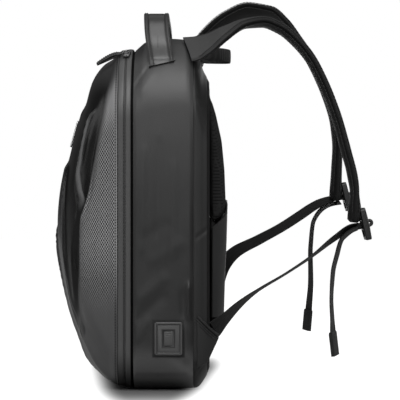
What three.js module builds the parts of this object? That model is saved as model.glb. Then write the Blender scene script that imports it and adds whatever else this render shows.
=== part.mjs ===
// A hard-shell laptop backpack, standing on its base.
// Millimetres, +Z up, the shell at -Y, the wearer's back at +Y, the wearer's right at +X.
// The origin is the middle of the flat base.

import * as THREE from 'three';

// Body
const bodyHeight = 470;
const bodyWidth = 300;
const topRadius = 100;
const bottomRadius = 48;
const mainDepth = 78;
const shellDepth = 89;
const rearDepth = 18;
const panelDish = 3;
const panelWall = 2.4;
const padDepth = 21.5;

// Bands between the shell and the main side
const rimDepth = 8.2;
const mainZipDepth = 2;
const bandDepth = 6.9;
const expansionZipDepth = 2.4;
const zipSink = 1.2;
const bandCrown = 0.8;

// Walls and clearances
const clothWall = 3;
const shellWall = 3.2;
const trimWall = 4;
const zipWall = 2;
const gap = 0.3;

// Soft straps and webbing
const strapWidth = 64;
const strapThick = 15;
const strapReach = 220;
const strapDrop = 230;
const strapInward = 20;
const webbingWidth = 25;
const webbingThick = 1.6;
const webbingClear = 2.6;
const webbingEndDrop = 4;
const tailLength = 155;
const tailFoldLength = 30;
const tailFoldThick = 5;

// Top handle and haul loop
const handleWidth = 33;
const handleThick = 5;
const handleRise = 30;
const handlePlace = 0.37;
const loopWidth = 20;
const loopThick = 2.2;
const loopReach = 44;
const loopSpan = 50;
const loopDrop = 17;
const loopSag = 2;

// Sleeve, tabs and pads on the back
const sleeveThick = 2.5;
const sleeveLean = 5;
const padChannel = 16;
const padInset = 33;
const tabThick = 2.6;
const tabReach = 28;
const tabWaist = 0.48;

// Hard fittings
const adjusterLength = 43;
const adjusterWidth = 34;
const adjusterThick = 5;
const adjusterBar = 4.5;
const adjusterLean = 0.22;
const ringRadius = 3.6;
const ringThick = 1.3;
const ringRise = 1.4;
const ringSink = 1.4;
const portWidth = 36;
const portHeight = 43;
const portRimWidth = 3.6;
const portRimThick = 2.6;
const portFlapThick = 2;
const portHeightOnBody = 70;
const badgeLength = 38;
const badgeWidth = 26;
const badgeThick = 2;
const badgeLift = 1;
const badgeHeightOnShell = 342;
const armourRelief = 4;
const armourSpread = 7;
const sliderLength = 14;
const sliderWidth = 12;
const sliderThick = 4;
const sliderInset = 50;
const pullerLength = 33;
const pullerWidth = 7;
const pullerThick = 2.6;

// Places that follow from the sizes
const halfWidth = bodyWidth / 2;
const mainFront = -mainDepth / 2;
const mainRear = mainDepth / 2;
const expansionZipRear = mainFront - gap;
const expansionZipFront = expansionZipRear - expansionZipDepth;
const bandRear = expansionZipFront - gap;
const bandFront = bandRear - bandDepth;
const mainZipRear = bandFront - gap;
const mainZipFront = mainZipRear - mainZipDepth;
const rimRear = mainZipFront - gap;
const rimFront = rimRear - rimDepth;
const shellRear = rimFront - gap;
const shellFront = shellRear - shellDepth;
const rearFront = mainRear + gap;
const rearBack = rearFront + rearDepth;
const panelFront = rearBack + gap;
const panelOuter = panelFront + panelDish;

// The body's outline at each depth: top and bottom as shares of the height,
// half as a share of the half width
const sideRows = [
  { y: shellRear, top: 0.963, bottom: 0.0085, half: 1 },
  { y: mainZipRear, top: 0.97, bottom: 0.005, half: 1.002 },
  { y: mainFront, top: 0.968, bottom: 0, half: 1 },
  { y: mainFront + 0.17 * mainDepth, top: 0.988, bottom: 0, half: 1 },
  { y: mainFront + 0.37 * mainDepth, top: 0.995, bottom: 0, half: 1 },
  { y: mainFront + 0.63 * mainDepth, top: 1, bottom: 0, half: 1 },
  { y: mainFront + 0.85 * mainDepth, top: 0.998, bottom: 0, half: 1 },
  { y: mainRear, top: 0.981, bottom: 0, half: 0.998 },
  { y: rearFront + 0.25 * rearDepth, top: 0.962, bottom: 0.0015, half: 0.995 },
  { y: rearFront + 0.5 * rearDepth, top: 0.936, bottom: 0.0085, half: 0.99 },
  { y: rearFront + 0.72 * rearDepth, top: 0.909, bottom: 0.02, half: 0.982 },
  { y: rearBack, top: 0.889, bottom: 0.038, half: 0.973 },
  { y: panelOuter, top: 0.875, bottom: 0.056, half: 0.945 },
];

// The shell's rings, rim to nose: depth is a share of the shell's depth
const shellRows = [
  { depth: 0, top: 0.963, bottom: 0.0085, half: 1 },
  { depth: 0.07, top: 0.957, bottom: 0.011, half: 0.992 },
  { depth: 0.135, top: 0.95, bottom: 0.016, half: 0.982 },
  { depth: 0.21, top: 0.943, bottom: 0.022, half: 0.968 },
  { depth: 0.281, top: 0.935, bottom: 0.031, half: 0.95 },
  { depth: 0.382, top: 0.916, bottom: 0.049, half: 0.913 },
  { depth: 0.483, top: 0.886, bottom: 0.077, half: 0.863 },
  { depth: 0.596, top: 0.816, bottom: 0.127, half: 0.787 },
  { depth: 0.708, top: 0.748, bottom: 0.176, half: 0.7 },
  { depth: 0.809, top: 0.676, bottom: 0.235, half: 0.587 },
  { depth: 0.899, top: 0.614, bottom: 0.3, half: 0.447 },
  { depth: 0.961, top: 0.545, bottom: 0.352, half: 0.28 },
  { depth: 0.993, top: 0.474, bottom: 0.394, half: 0.12 },
];
const shellNoseHeight = 0.436 * bodyHeight;

// Raised and sunk lines of the shell's armour: rise and spread are shares of the named relief and spread,
// height is a share of the body's height, across of its half width
const armourLines = [
  {
    name: 'blade', rise: 1, spread: 0.86,
    rows: [{ height: 0.5, across: 0.815 }, { height: 0.64, across: 0.797 }, { height: 0.78, across: 0.857 }],
  },
  {
    name: 'scoop', rise: -1.5, spread: 1.15,
    rows: [{ height: 0.51, across: 0.85 }, { height: 0.64, across: 0.87 }, { height: 0.8, across: 0.93 }],
  },
  {
    name: 'inner ridge', rise: 1, spread: 1,
    rows: [
      { height: 0.12, across: 0.8 }, { height: 0.21, across: 0.6 }, { height: 0.3, across: 0.53 },
      { height: 0.41, across: 0.5 }, { height: 0.55, across: 0.48 },
    ],
  },
  {
    name: 'inner valley', rise: -1, spread: 1,
    rows: [
      { height: 0.16, across: 0.74 }, { height: 0.22, across: 0.66 }, { height: 0.3, across: 0.6 },
      { height: 0.41, across: 0.58 }, { height: 0.55, across: 0.58 },
    ],
  },
];
const armourEndFade = 0.05;

// Back pads: height as a share of the body's height, proud as a share of the pad's depth
const upperPadRows = [
  { height: 0.527, proud: 0.35, outer: 0.97 },
  { height: 0.535, proud: 0.8, outer: 1 },
  { height: 0.55, proud: 0.97, outer: 1 },
  { height: 0.62, proud: 0.88, outer: 1 },
  { height: 0.7, proud: 0.72, outer: 0.99 },
  { height: 0.77, proud: 0.52, outer: 0.95 },
  { height: 0.82, proud: 0.34, outer: 0.9 },
  { height: 0.85, proud: 0.16, outer: 0.84 },
];
const lowerPadRows = [
  { height: 0.1, proud: 0.15, outer: 0.84 },
  { height: 0.115, proud: 0.36, outer: 0.92 },
  { height: 0.15, proud: 0.6, outer: 0.98 },
  { height: 0.2, proud: 0.74, outer: 1 },
  { height: 0.3, proud: 0.82, outer: 1 },
  { height: 0.41, proud: 0.9, outer: 1 },
  { height: 0.43, proud: 0.8, outer: 1 },
  { height: 0.44, proud: 0.35, outer: 0.97 },
];
const padCorner = 0.35;

// Trolley sleeve, middle to side: across is a share of the half width, out a share of the pads' depth,
// low and high shares of the body's height
const sleeveRows = [
  { across: 0, out: 1, low: 0.2, high: 0.533 },
  { across: 0.35, out: 1, low: 0.2, high: 0.53 },
  { across: 0.65, out: 0.995, low: 0.202, high: 0.518 },
  { across: 0.75, out: 0.96, low: 0.203, high: 0.502 },
  { across: 0.805, out: 0.84, low: 0.204, high: 0.488 },
  { across: 0.855, out: 0.6, low: 0.204, high: 0.476 },
  { across: 0.9, out: 0.32, low: 0.205, high: 0.465 },
  { across: 0.935, out: 0.08, low: 0.206, high: 0.456 },
];

// Shoulder straps, root to lower end: inward, back and up are shares of the straps' inward, reach and drop,
// turn is how far the strap's face leans sideways, wide and thick are shares of its width and thickness
const rootTurn = 36;
const rootThick = 0.35;
const rootDepth = mainRear - 0.1 * mainDepth;
const rootLift = topRadius + gap + (rootThick * strapThick) / 2;
const strapRoot = {
  x: halfWidth - topRadius + rootLift * Math.sin(THREE.MathUtils.degToRad(rootTurn)),
  y: rootDepth,
  z: lookUp(sideRows, 'y', rootDepth, 'top') * bodyHeight - topRadius
    + rootLift * Math.cos(THREE.MathUtils.degToRad(rootTurn)),
};
const rightStrapRows = [
  { inward: 0, back: 0, up: 0, turn: rootTurn, wide: 1, thick: rootThick },
  { inward: 0.12, back: 0.06, up: 0.008, turn: 34, wide: 1, thick: 0.6 },
  { inward: 0.3, back: 0.12, up: 0.029, turn: 30, wide: 1, thick: 0.9 },
  { inward: 0.6, back: 0.232, up: 0.099, turn: 18, wide: 1, thick: 1 },
  { inward: 0.9, back: 0.352, up: 0.157, turn: 6, wide: 1, thick: 0.95 },
  { inward: 1, back: 0.455, up: 0.167, turn: 1, wide: 1, thick: 0.92 },
  { inward: 1, back: 0.566, up: 0.129, turn: 0, wide: 1, thick: 0.88 },
  { inward: 0.97, back: 0.65, up: 0.064, turn: 0, wide: 1, thick: 0.86 },
  { inward: 0.93, back: 0.743, up: -0.04, turn: 0, wide: 1, thick: 0.86 },
  { inward: 0.85, back: 0.816, up: -0.171, turn: 0, wide: 0.98, thick: 0.86 },
  { inward: 0.75, back: 0.871, up: -0.297, turn: 0, wide: 0.95, thick: 0.86 },
  { inward: 0.6, back: 0.92, up: -0.438, turn: 0, wide: 0.91, thick: 0.86 },
  { inward: 0.45, back: 0.959, up: -0.58, turn: 0, wide: 0.88, thick: 0.85 },
  { inward: 0.32, back: 0.996, up: -0.719, turn: 0, wide: 0.84, thick: 0.84 },
  { inward: 0.24, back: 1.01, up: -0.823, turn: 0, wide: 0.79, thick: 0.78 },
  { inward: 0.2, back: 1.01, up: -0.927, turn: 0, wide: 0.73, thick: 0.72 },
  { inward: 0.2, back: 1.005, up: -1, turn: 0, wide: 0.66, thick: 0.5 },
];
const leftStrapRows = [
  { inward: 0, back: 0, up: 0, turn: rootTurn, wide: 1, thick: rootThick },
  { inward: 0.1, back: 0.041, up: 0.022, turn: 34, wide: 1, thick: 0.6 },
  { inward: 0.2, back: 0.073, up: 0.096, turn: 30, wide: 1, thick: 0.9 },
  { inward: 0.4, back: 0.127, up: 0.181, turn: 20, wide: 1, thick: 1.05 },
  { inward: 0.66, back: 0.244, up: 0.281, turn: 9, wide: 1, thick: 1 },
  { inward: 0.9, back: 0.405, up: 0.342, turn: 2, wide: 1, thick: 0.9 },
  { inward: 1, back: 0.543, up: 0.32, turn: 0, wide: 1, thick: 0.88 },
  { inward: 1, back: 0.643, up: 0.251, turn: 0, wide: 1, thick: 0.86 },
  { inward: 0.97, back: 0.729, up: 0.147, turn: 0, wide: 1, thick: 0.86 },
  { inward: 0.92, back: 0.802, up: 0.045, turn: 0, wide: 0.99, thick: 0.86 },
  { inward: 0.84, back: 0.868, up: -0.077, turn: 0, wide: 0.98, thick: 0.86 },
  { inward: 0.7, back: 0.941, up: -0.249, turn: 0, wide: 0.95, thick: 0.86 },
  { inward: 0.55, back: 0.984, up: -0.401, turn: 0, wide: 0.91, thick: 0.9 },
  { inward: 0.4, back: 0.997, up: -0.553, turn: 0, wide: 0.86, thick: 0.92 },
  { inward: 0.28, back: 0.992, up: -0.706, turn: 0, wide: 0.8, thick: 0.92 },
  { inward: 0.2, back: 0.986, up: -0.877, turn: 0, wide: 0.7, thick: 0.85 },
];

// Lower webbing, tab to strap end: along is the share of the way, up and aside are how far it bows from the
// straight line, as shares of its length; turn 0 shows its face to the side, 90 its edge
const rightWebbingRows = [
  { along: 0, up: 0, aside: 0, turn: 26 },
  { along: 0.07, up: 0.018, aside: 0.01, turn: 56 },
  { along: 0.15, up: 0.038, aside: 0.014, turn: 70 },
  { along: 0.23, up: 0.047, aside: 0.014, turn: 78 },
  { along: 0.31, up: 0.046, aside: 0.014, turn: 84 },
  { along: 0.47, up: 0.031, aside: 0.01, turn: 86 },
  { along: 0.65, up: 0.024, aside: 0, turn: 86 },
  { along: 0.82, up: 0.035, aside: 0, turn: 82 },
  { along: 0.94, up: 0.026, aside: 0, turn: 80 },
  { along: 1, up: 0, aside: 0, turn: 80 },
];
const leftWebbingRows = [
  { along: 0, up: 0, aside: 0, turn: 14 },
  { along: 0.05, up: 0.11, aside: 0.005, turn: 36 },
  { along: 0.1, up: 0.185, aside: 0.01, turn: 48 },
  { along: 0.17, up: 0.232, aside: 0.014, turn: 55 },
  { along: 0.358, up: 0.199, aside: 0.01, turn: 60 },
  { along: 0.529, up: 0.159, aside: 0, turn: 62 },
  { along: 0.673, up: 0.135, aside: 0, turn: 65 },
  { along: 0.78, up: 0.11, aside: 0, turn: 72 },
  { along: 0.867, up: 0.072, aside: 0, turn: 78 },
  { along: 0.944, up: 0.026, aside: 0, turn: 80 },
  { along: 1, up: 0, aside: 0, turn: 80 },
];

// Free webbing ends: back is how far towards the body, down how far below the strap's end,
// as shares of their length
const rightTailRows = [
  { back: -0.036, down: 0.0445, turn: 80 },
  { back: 0.01, down: 0.064, turn: 80 },
  { back: 0.054, down: 0.096, turn: 80 },
  { back: 0.106, down: 0.15, turn: 79 },
  { back: 0.142, down: 0.27, turn: 76 },
  { back: 0.178, down: 0.43, turn: 75 },
  { back: 0.191, down: 0.67, turn: 75 },
  { back: 0.184, down: 0.82, turn: 73 },
  { back: 0.178, down: 0.945, turn: 66 },
];
const leftTailRows = [
  { back: -0.03, down: 0.058, turn: 80 },
  { back: 0.006, down: 0.064, turn: 80 },
  { back: 0.064, down: 0.072, turn: 80 },
  { back: 0.128, down: 0.094, turn: 80 },
  { back: 0.18, down: 0.136, turn: 82 },
  { back: 0.215, down: 0.215, turn: 83 },
  { back: 0.231, down: 0.364, turn: 82 },
  { back: 0.238, down: 0.486, turn: 82 },
  { back: 0.235, down: 0.75, turn: 80 },
  { back: 0.255, down: 1.04, turn: 70 },
];

// What differs between the two sides: how far the adjuster stands behind the strap's end and above it
const sides = {
  right: {
    side: 1, strapRows: rightStrapRows, webbingRows: rightWebbingRows, tailRows: rightTailRows,
    adjusterStand: 14.5, adjusterRise: -1.3,
  },
  left: {
    side: -1, strapRows: leftStrapRows, webbingRows: leftWebbingRows, tailRows: leftTailRows,
    adjusterStand: 15.4, adjusterRise: 7,
  },
};

// Corner tab: out is a share of the way from seam to tip, low and high are shares of the body's height,
// aside is a share of the tab's reach
const tabRows = [
  { out: 0, low: 0.068, high: 0.207, aside: 0 },
  { out: tabWaist, low: 0.108, high: 0.182, aside: 0.03 },
  { out: 1, low: 0.148, high: 0.158, aside: 0 },
];
const tabSeam = rearFront + 0.28 * rearDepth;

const materials = {
  shell: { color: 0x1c1c1e, roughness: 0.32, metalness: 0 },
  coated: { color: 0x3a3a3c, roughness: 0.5, metalness: 0 },
  zip: { color: 0x101012, roughness: 0.6, metalness: 0 },
  strap: { color: 0x222224, roughness: 0.85, metalness: 0 },
  mesh: { color: 0x1e1e20, roughness: 0.95, metalness: 0 },
  webbing: { color: 0x161618, roughness: 0.8, metalness: 0 },
  handle: { color: 0x6e6e70, roughness: 0.55, metalness: 0 },
  plastic: { color: 0x262628, roughness: 0.45, metalness: 0 },
  rubber: { color: 0x2c2c2e, roughness: 0.6, metalness: 0 },
  badge: { color: 0xb8b8bc, roughness: 0.3, metalness: 1 },
};

const backpack = new THREE.Group();

function addMesh(name, geometry, material) {
  const mesh = new THREE.Mesh(geometry, new THREE.MeshStandardMaterial(materials[material]));
  mesh.name = name;
  backpack.add(mesh);
  return mesh;
}

// Straight interpolation in a table whose rows climb in the column named key
function lookUp(rows, key, at, column) {
  if (at <= rows[0][key]) return rows[0][column];
  for (let i = 1; i < rows.length; i++) {
    if (at <= rows[i][key]) {
      const share = (at - rows[i - 1][key]) / (rows[i][key] - rows[i - 1][key]);
      return rows[i - 1][column] + share * (rows[i][column] - rows[i - 1][column]);
    }
  }
  return rows[rows.length - 1][column];
}

// Turns faces outwards when the closed body they enclose comes out inside out
function closedGeometry(positions, faces) {
  let volume = 0;
  const corner = (index) => new THREE.Vector3().fromArray(positions, 3 * index);
  for (const [a, b, c] of faces) volume += corner(a).dot(corner(b).cross(corner(c)));
  const ordered = volume < 0 ? faces.map(([a, b, c]) => [a, c, b]) : faces;
  const geometry = new THREE.BufferGeometry();
  geometry.setAttribute('position', new THREE.Float32BufferAttribute(positions, 3));
  geometry.setIndex(ordered.flat());
  geometry.computeVertexNormals();
  return geometry;
}

// A skin through rings of as many points each. looped joins the last ring to the first,
// otherwise both ends are capped.
function loft(rings, looped = false) {
  const count = rings[0].length;
  const positions = rings.flat().flatMap((point) => point.toArray());
  const faces = [];
  const bands = looped ? rings.length : rings.length - 1;
  for (let r = 0; r < bands; r++) {
    const next = (r + 1) % rings.length;
    for (let i = 0; i < count; i++) {
      const j = (i + 1) % count;
      const [a, b, c, d] = [r * count + i, r * count + j, next * count + j, next * count + i];
      faces.push([a, b, c], [a, c, d]);
    }
  }
  if (!looped) {
    for (const r of [0, rings.length - 1]) {
      const middle = positions.length / 3;
      const centre = new THREE.Vector3();
      for (const point of rings[r]) centre.addScaledVector(point, 1 / count);
      positions.push(...centre.toArray());
      for (let i = 0; i < count; i++) {
        const [a, b] = [r * count + i, r * count + ((i + 1) % count)];
        faces.push(r === 0 ? [middle, b, a] : [middle, a, b]);
      }
    }
  }
  return closedGeometry(positions, faces);
}

// The points of a rounded outline, each with its outward direction, from the middle of the bottom round by +X
const outlineSteps = { bottom: 2, bottomArc: 5, side: 7, topArc: 8, top: 2 };

function outline({ half, top, bottom, topArc, bottomArc }) {
  const right = [];
  const straight = (fromX, fromZ, toX, toZ, nx, nz, steps) => {
    for (let i = 0; i < steps; i++) {
      const share = i / steps;
      right.push({ x: fromX + share * (toX - fromX), z: fromZ + share * (toZ - fromZ), nx, nz });
    }
  };
  const arc = (x, z, radius, start, steps) => {
    for (let i = 0; i < steps; i++) {
      const angle = start + (i / steps) * (Math.PI / 2);
      const [nx, nz] = [Math.cos(angle), Math.sin(angle)];
      right.push({ x: x + radius * nx, z: z + radius * nz, nx, nz });
    }
  };
  straight(0, bottom, half - bottomArc, bottom, 0, -1, outlineSteps.bottom);
  arc(half - bottomArc, bottom + bottomArc, bottomArc, -Math.PI / 2, outlineSteps.bottomArc);
  straight(half, bottom + bottomArc, half, top - topArc, 1, 0, outlineSteps.side);
  arc(half - topArc, top - topArc, topArc, 0, outlineSteps.topArc);
  straight(half - topArc, top, 0, top, 0, 1, outlineSteps.top);
  const left = right.slice(1).reverse().map(({ x, z, nx, nz }) => ({ x: -x, z, nx: -nx, nz }));
  return [...right, { x: 0, z: top, nx: 0, nz: 1 }, ...left];
}

function sideOutline(y) {
  const half = lookUp(sideRows, 'y', y, 'half') * halfWidth;
  const section = {
    half,
    top: lookUp(sideRows, 'y', y, 'top') * bodyHeight,
    bottom: lookUp(sideRows, 'y', y, 'bottom') * bodyHeight,
  };
  const scale = half / halfWidth;
  return outline({ ...section, topArc: topRadius * scale, bottomArc: bottomRadius * scale });
}

// A closed wall round the body: profile is its cut, each corner at a depth y and an inset from the outline
function ringWall(profile) {
  const lines = profile.map(({ y, inset }) =>
    sideOutline(y).map(({ x, z, nx, nz }) => new THREE.Vector3(x - inset * nx, y, z - inset * nz)));
  return loft(lines, true);
}

function bandProfile(front, rear, wall, crown, sink = 0) {
  const middle = (front + rear) / 2;
  return [
    { y: front, inset: sink + crown },
    { y: middle, inset: sink },
    { y: rear, inset: sink + crown },
    { y: rear, inset: sink + wall },
    { y: front, inset: sink + wall },
  ];
}

// The height of the shell's relief at a point of its front view
function armourRise(x, z) {
  let rise = 0;
  for (const line of armourLines) {
    const first = line.rows[0].height;
    const last = line.rows[line.rows.length - 1].height;
    const height = z / bodyHeight;
    const inside = Math.min(height - first, last - height) / armourEndFade;
    const fade = THREE.MathUtils.smoothstep(inside, -1, 1);
    const away = Math.abs(x) - lookUp(line.rows, 'height', height, 'across') * halfWidth;
    rise += line.rise * armourRelief * fade * Math.exp(-((away / (line.spread * armourSpread)) ** 2));
  }
  return rise;
}

function shellGeometry() {
  const outer = shellRows.map((row) => {
    const half = row.half * halfWidth;
    const [top, bottom] = [row.top * bodyHeight, row.bottom * bodyHeight];
    const most = Math.min(half, (top - bottom) / 2);
    const topArc = Math.min(most, half * THREE.MathUtils.lerp(topRadius / halfWidth, 1, row.depth));
    const bottomArc = Math.min(most, half * THREE.MathUtils.lerp(bottomRadius / halfWidth, 1, row.depth));
    const y = shellRear - row.depth * shellDepth;
    return outline({ half, top, bottom, topArc, bottomArc }).map(({ x, z }) => new THREE.Vector3(x, y, z));
  });
  const count = outer[0].length;
  const nose = new THREE.Vector3(0, shellFront, shellNoseHeight);
  const inner = [];
  const raised = [];
  outer.forEach((ring, r) => {
    const before = outer[Math.max(r - 1, 0)];
    const after = outer[r + 1] ?? ring.map(() => nose);
    const innerRing = [];
    const raisedRing = [];
    ring.forEach((point, i) => {
      const along = new THREE.Vector3().subVectors(ring[(i + 1) % count], ring[(i + count - 1) % count]);
      const forward = new THREE.Vector3().subVectors(after[i], before[i]);
      const normal = along.cross(forward).normalize();
      const settle = THREE.MathUtils.smoothstep(shellRows[r].depth, 0, shellRows[2].depth);
      const outside = point.clone().addScaledVector(normal, armourRise(point.x, point.z) * settle);
      const inside = outside.clone().addScaledVector(normal, -shellWall);
      if (r === 0) inside.y = shellRear;
      raisedRing.push(outside);
      innerRing.push(inside);
    });
    raised.push(raisedRing);
    inner.push(innerRing);
  });
  return loft([...raised.reverse(), ...inner]);
}

// The rear surface of the body on its middle line, before the pads
function backAt(z) {
  const rear = sideRows.filter((row) => row.y >= mainRear);
  const upper = rear.map((row) => ({ z: row.top * bodyHeight, y: row.y })).reverse();
  const lower = rear.map((row) => ({ z: row.bottom * bodyHeight, y: row.y }));
  const rows = z > bodyHeight / 2 ? upper : lower;
  return lookUp(rows, 'z', z, 'y');
}

// Back panel: a dish whose rim meets the rear band
function panelGeometry() {
  const panelInset = 0.8 * bottomRadius;
  const rings = [];
  const addRing = (y, inset, place) => {
    rings.push(sideOutline(y).map(({ x, z, nx, nz }) => new THREE.Vector3(x - inset * nx, place, z - inset * nz)));
  };
  addRing(panelOuter, panelInset, panelOuter);
  addRing(panelOuter, 0, panelOuter);
  addRing(panelFront, 0, panelFront);
  addRing(panelFront, clothWall, panelFront);
  addRing(panelOuter, clothWall, panelOuter - panelWall);
  addRing(panelOuter, panelInset, panelOuter - panelWall);
  return loft(rings);
}

// One back pad, a loft up the back with round edges
function padGeometry(rows, side) {
  const innerX = padChannel / 2;
  const rings = rows.map((row) => {
    const z = row.height * bodyHeight;
    const seat = Math.max(backAt(z), panelOuter) + gap;
    const out = seat + row.proud * (padDepth - gap);
    const outerX = row.outer * (halfWidth - padInset);
    const round = Math.min(padCorner * padDepth, (out - seat) * 0.7);
    const points = [
      [innerX, seat], [innerX, out - round], [innerX + 0.3 * round, out - 0.3 * round], [innerX + round, out],
      [outerX - round, out], [outerX - 0.3 * round, out - 0.3 * round], [outerX, out - round], [outerX, seat],
    ];
    return points.map(([x, y]) => new THREE.Vector3(side * x, y, z));
  });
  return loft(rings);
}

// Trolley sleeve: a cloth band over the pads, sewn to the panel at both sides
function sleeveGeometry() {
  const half = sleeveRows.map((row) => ({
    x: row.across * halfWidth,
    y: panelOuter + gap + row.out * (padDepth + gap),
    lean: row.out * sleeveLean,
    low: row.low * bodyHeight,
    high: row.high * bodyHeight,
  }));
  const mirrored = half.slice(1).map((row) => ({ ...row, x: -row.x }));
  const stations = [...mirrored.reverse(), ...half];
  const rings = stations.map((row, i) => {
    const before = stations[Math.max(i - 1, 0)];
    const after = stations[Math.min(i + 1, stations.length - 1)];
    const out = new THREE.Vector2(before.y - after.y, after.x - before.x).normalize().multiplyScalar(sleeveThick);
    const lowY = row.y - row.lean;
    return [
      new THREE.Vector3(row.x, lowY, row.low),
      new THREE.Vector3(row.x, row.y, row.high),
      new THREE.Vector3(row.x + out.x, row.y + out.y, row.high),
      new THREE.Vector3(row.x + out.x, lowY + out.y, row.low),
    ];
  });
  return loft(rings);
}

// A flat band swept along stations, each with a place, an across direction, a width and a thickness, with steps
// cuts from one station to the next. round trims the corners of its cut, as a share of the thickness.
function bandSweep(stations, round, steps = 1) {
  const curve = new THREE.CatmullRomCurve3(stations.map((station) => station.place), false, 'centripetal');
  const last = stations.length - 1;
  const rings = [];
  for (let i = 0; i <= last * steps; i++) {
    const from = Math.min(Math.floor(i / steps), last - 1);
    const [before, after] = [stations[from], stations[from + 1]];
    const share = i / steps - from;
    const place = curve.getPoint(i / (last * steps));
    const across = before.across.clone().lerp(after.across, share).normalize();
    const out = curve.getTangent(i / (last * steps)).cross(across).normalize();
    const w = THREE.MathUtils.lerp(before.wide, after.wide, share) / 2;
    const t = THREE.MathUtils.lerp(before.thick, after.thick, share) / 2;
    const trim = 2 * round * t;
    const cut = [
      [-w + trim, -t], [w - trim, -t], [w, -t + trim], [w, t - trim],
      [w - trim, t], [-w + trim, t], [-w, t - trim], [-w, -t + trim],
    ];
    const corners = round > 0 ? cut : [[-w, -t], [w, -t], [w, t], [-w, t]];
    rings.push(corners.map(([a, o]) => place.clone().addScaledVector(across, a).addScaledVector(out, o)));
  }
  return loft(rings);
}

function strapPlace(row, side) {
  const x = strapRoot.x - row.inward * strapInward;
  return new THREE.Vector3(side * x, strapRoot.y + row.back * strapReach, strapRoot.z + row.up * strapDrop);
}

function strapStations(rows, side) {
  return rows.map((row) => {
    const turn = THREE.MathUtils.degToRad(row.turn);
    return {
      place: strapPlace(row, side),
      across: new THREE.Vector3(side * Math.cos(turn), 0, -Math.sin(turn)),
      wide: row.wide * strapWidth,
      thick: row.thick * strapThick,
    };
  });
}

function turnedAcross(direction, side, turn) {
  const angle = THREE.MathUtils.degToRad(turn);
  const flat = new THREE.Vector3(0, -direction.z, direction.y).normalize();
  return flat.multiplyScalar(Math.cos(angle)).add(new THREE.Vector3(side * Math.sin(angle), 0, 0));
}

function tabPoint(out, share, side) {
  const low = lookUp(tabRows, 'out', out, 'low') * bodyHeight;
  const high = lookUp(tabRows, 'out', out, 'high') * bodyHeight;
  const y = tabSeam + out * tabReach;
  const wall = lookUp(sideRows, 'y', y, 'half') * halfWidth;
  const x = wall + gap + tabThick / 2 + lookUp(tabRows, 'out', out, 'aside') * tabReach;
  return new THREE.Vector3(side * x, y, low + share * (high - low));
}

function tabGeometry(side) {
  const rings = tabRows.map(({ out }) => {
    const [low, high] = [tabPoint(out, 0, side), tabPoint(out, 1, side)];
    const across = new THREE.Vector3(tabThick / 2, 0, 0);
    return [low.clone().sub(across), high.clone().sub(across), high.clone().add(across), low.clone().add(across)];
  });
  return loft(rings);
}

function webbingStations({ side, webbingRows, adjusterStand, adjusterRise }, strapEnd) {
  const start = tabPoint(tabWaist, 1, side).lerp(tabPoint(1, 1, side), 0.5);
  start.add(new THREE.Vector3(0, 1, 1).normalize().multiplyScalar(webbingClear));
  const adjusterFace = adjusterStand + (adjusterRise + webbingEndDrop) * Math.tan(adjusterLean)
    - adjusterThick / 2 / Math.cos(adjusterLean);
  const end = strapEnd.clone().add(new THREE.Vector3(0, adjusterFace - webbingClear, -webbingEndDrop));
  const direction = end.clone().sub(start);
  const length = direction.length();
  return webbingRows.map((row) => {
    const place = start.clone().addScaledVector(direction, row.along);
    place.z += row.up * length;
    place.x += side * row.aside * length;
    return {
      place,
      across: turnedAcross(direction, side, row.turn),
      wide: webbingWidth,
      thick: webbingThick,
    };
  });
}

function tailStations(rows, strapEnd, side) {
  const stations = rows.map((row) => ({
    place: strapEnd.clone().add(new THREE.Vector3(0, -row.back * tailLength, -row.down * tailLength)),
    turn: row.turn,
    thick: webbingThick,
  }));
  const last = stations[stations.length - 1];
  const drop = last.place.clone().sub(stations[stations.length - 2].place).normalize();
  for (const share of [0.03, 1]) {
    const place = last.place.clone().addScaledVector(drop, share * tailFoldLength);
    stations.push({ place, turn: last.turn, thick: tailFoldThick });
  }
  return stations.map((station, i) => {
    const next = stations[Math.min(i + 1, stations.length - 1)].place;
    const previous = stations[Math.max(i - 1, 0)].place;
    const across = turnedAcross(previous.clone().sub(next), side, station.turn);
    return { ...station, across, wide: webbingWidth };
  });
}

function adjusterGeometry() {
  const frame = rectangle(adjusterWidth, adjusterLength, adjusterBar * 0.6);
  const slots = 3;
  const slotHeight = (adjusterLength - (slots + 1) * adjusterBar) / slots;
  const slotHalf = adjusterWidth / 2 - adjusterBar;
  for (let i = 0; i < slots; i++) {
    const low = -adjusterLength / 2 + adjusterBar + i * (slotHeight + adjusterBar);
    const slot = new THREE.Path();
    slot.moveTo(-slotHalf, low);
    slot.lineTo(-slotHalf, low + slotHeight);
    slot.lineTo(slotHalf, low + slotHeight);
    slot.lineTo(slotHalf, low);
    slot.closePath();
    frame.holes.push(slot);
  }
  const geometry = new THREE.ExtrudeGeometry(frame, { depth: adjusterThick, bevelEnabled: false });
  geometry.translate(0, 0, -adjusterThick / 2);
  return geometry;
}

function rectangle(width, height, trim) {
  const shape = new THREE.Shape();
  const [w, h] = [width / 2, height / 2];
  shape.moveTo(-w + trim, -h);
  shape.lineTo(w - trim, -h);
  shape.lineTo(w, -h + trim);
  shape.lineTo(w, h - trim);
  shape.lineTo(w - trim, h);
  shape.lineTo(-w + trim, h);
  shape.lineTo(-w, h - trim);
  shape.lineTo(-w, -h + trim);
  shape.closePath();
  return shape;
}

// Body walls
addMesh('front_shell', shellGeometry(), 'shell');
addMesh('shell_rim', ringWall(bandProfile(rimFront, rimRear, trimWall, bandCrown)), 'coated');
addMesh('main_zip', ringWall(bandProfile(mainZipFront, mainZipRear, zipWall, 0, zipSink)), 'zip');
addMesh('zip_band', ringWall(bandProfile(bandFront, bandRear, trimWall, bandCrown)), 'coated');
addMesh('expansion_zip',
  ringWall(bandProfile(expansionZipFront, expansionZipRear, zipWall, 0, 2 * zipSink)), 'zip');

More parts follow.
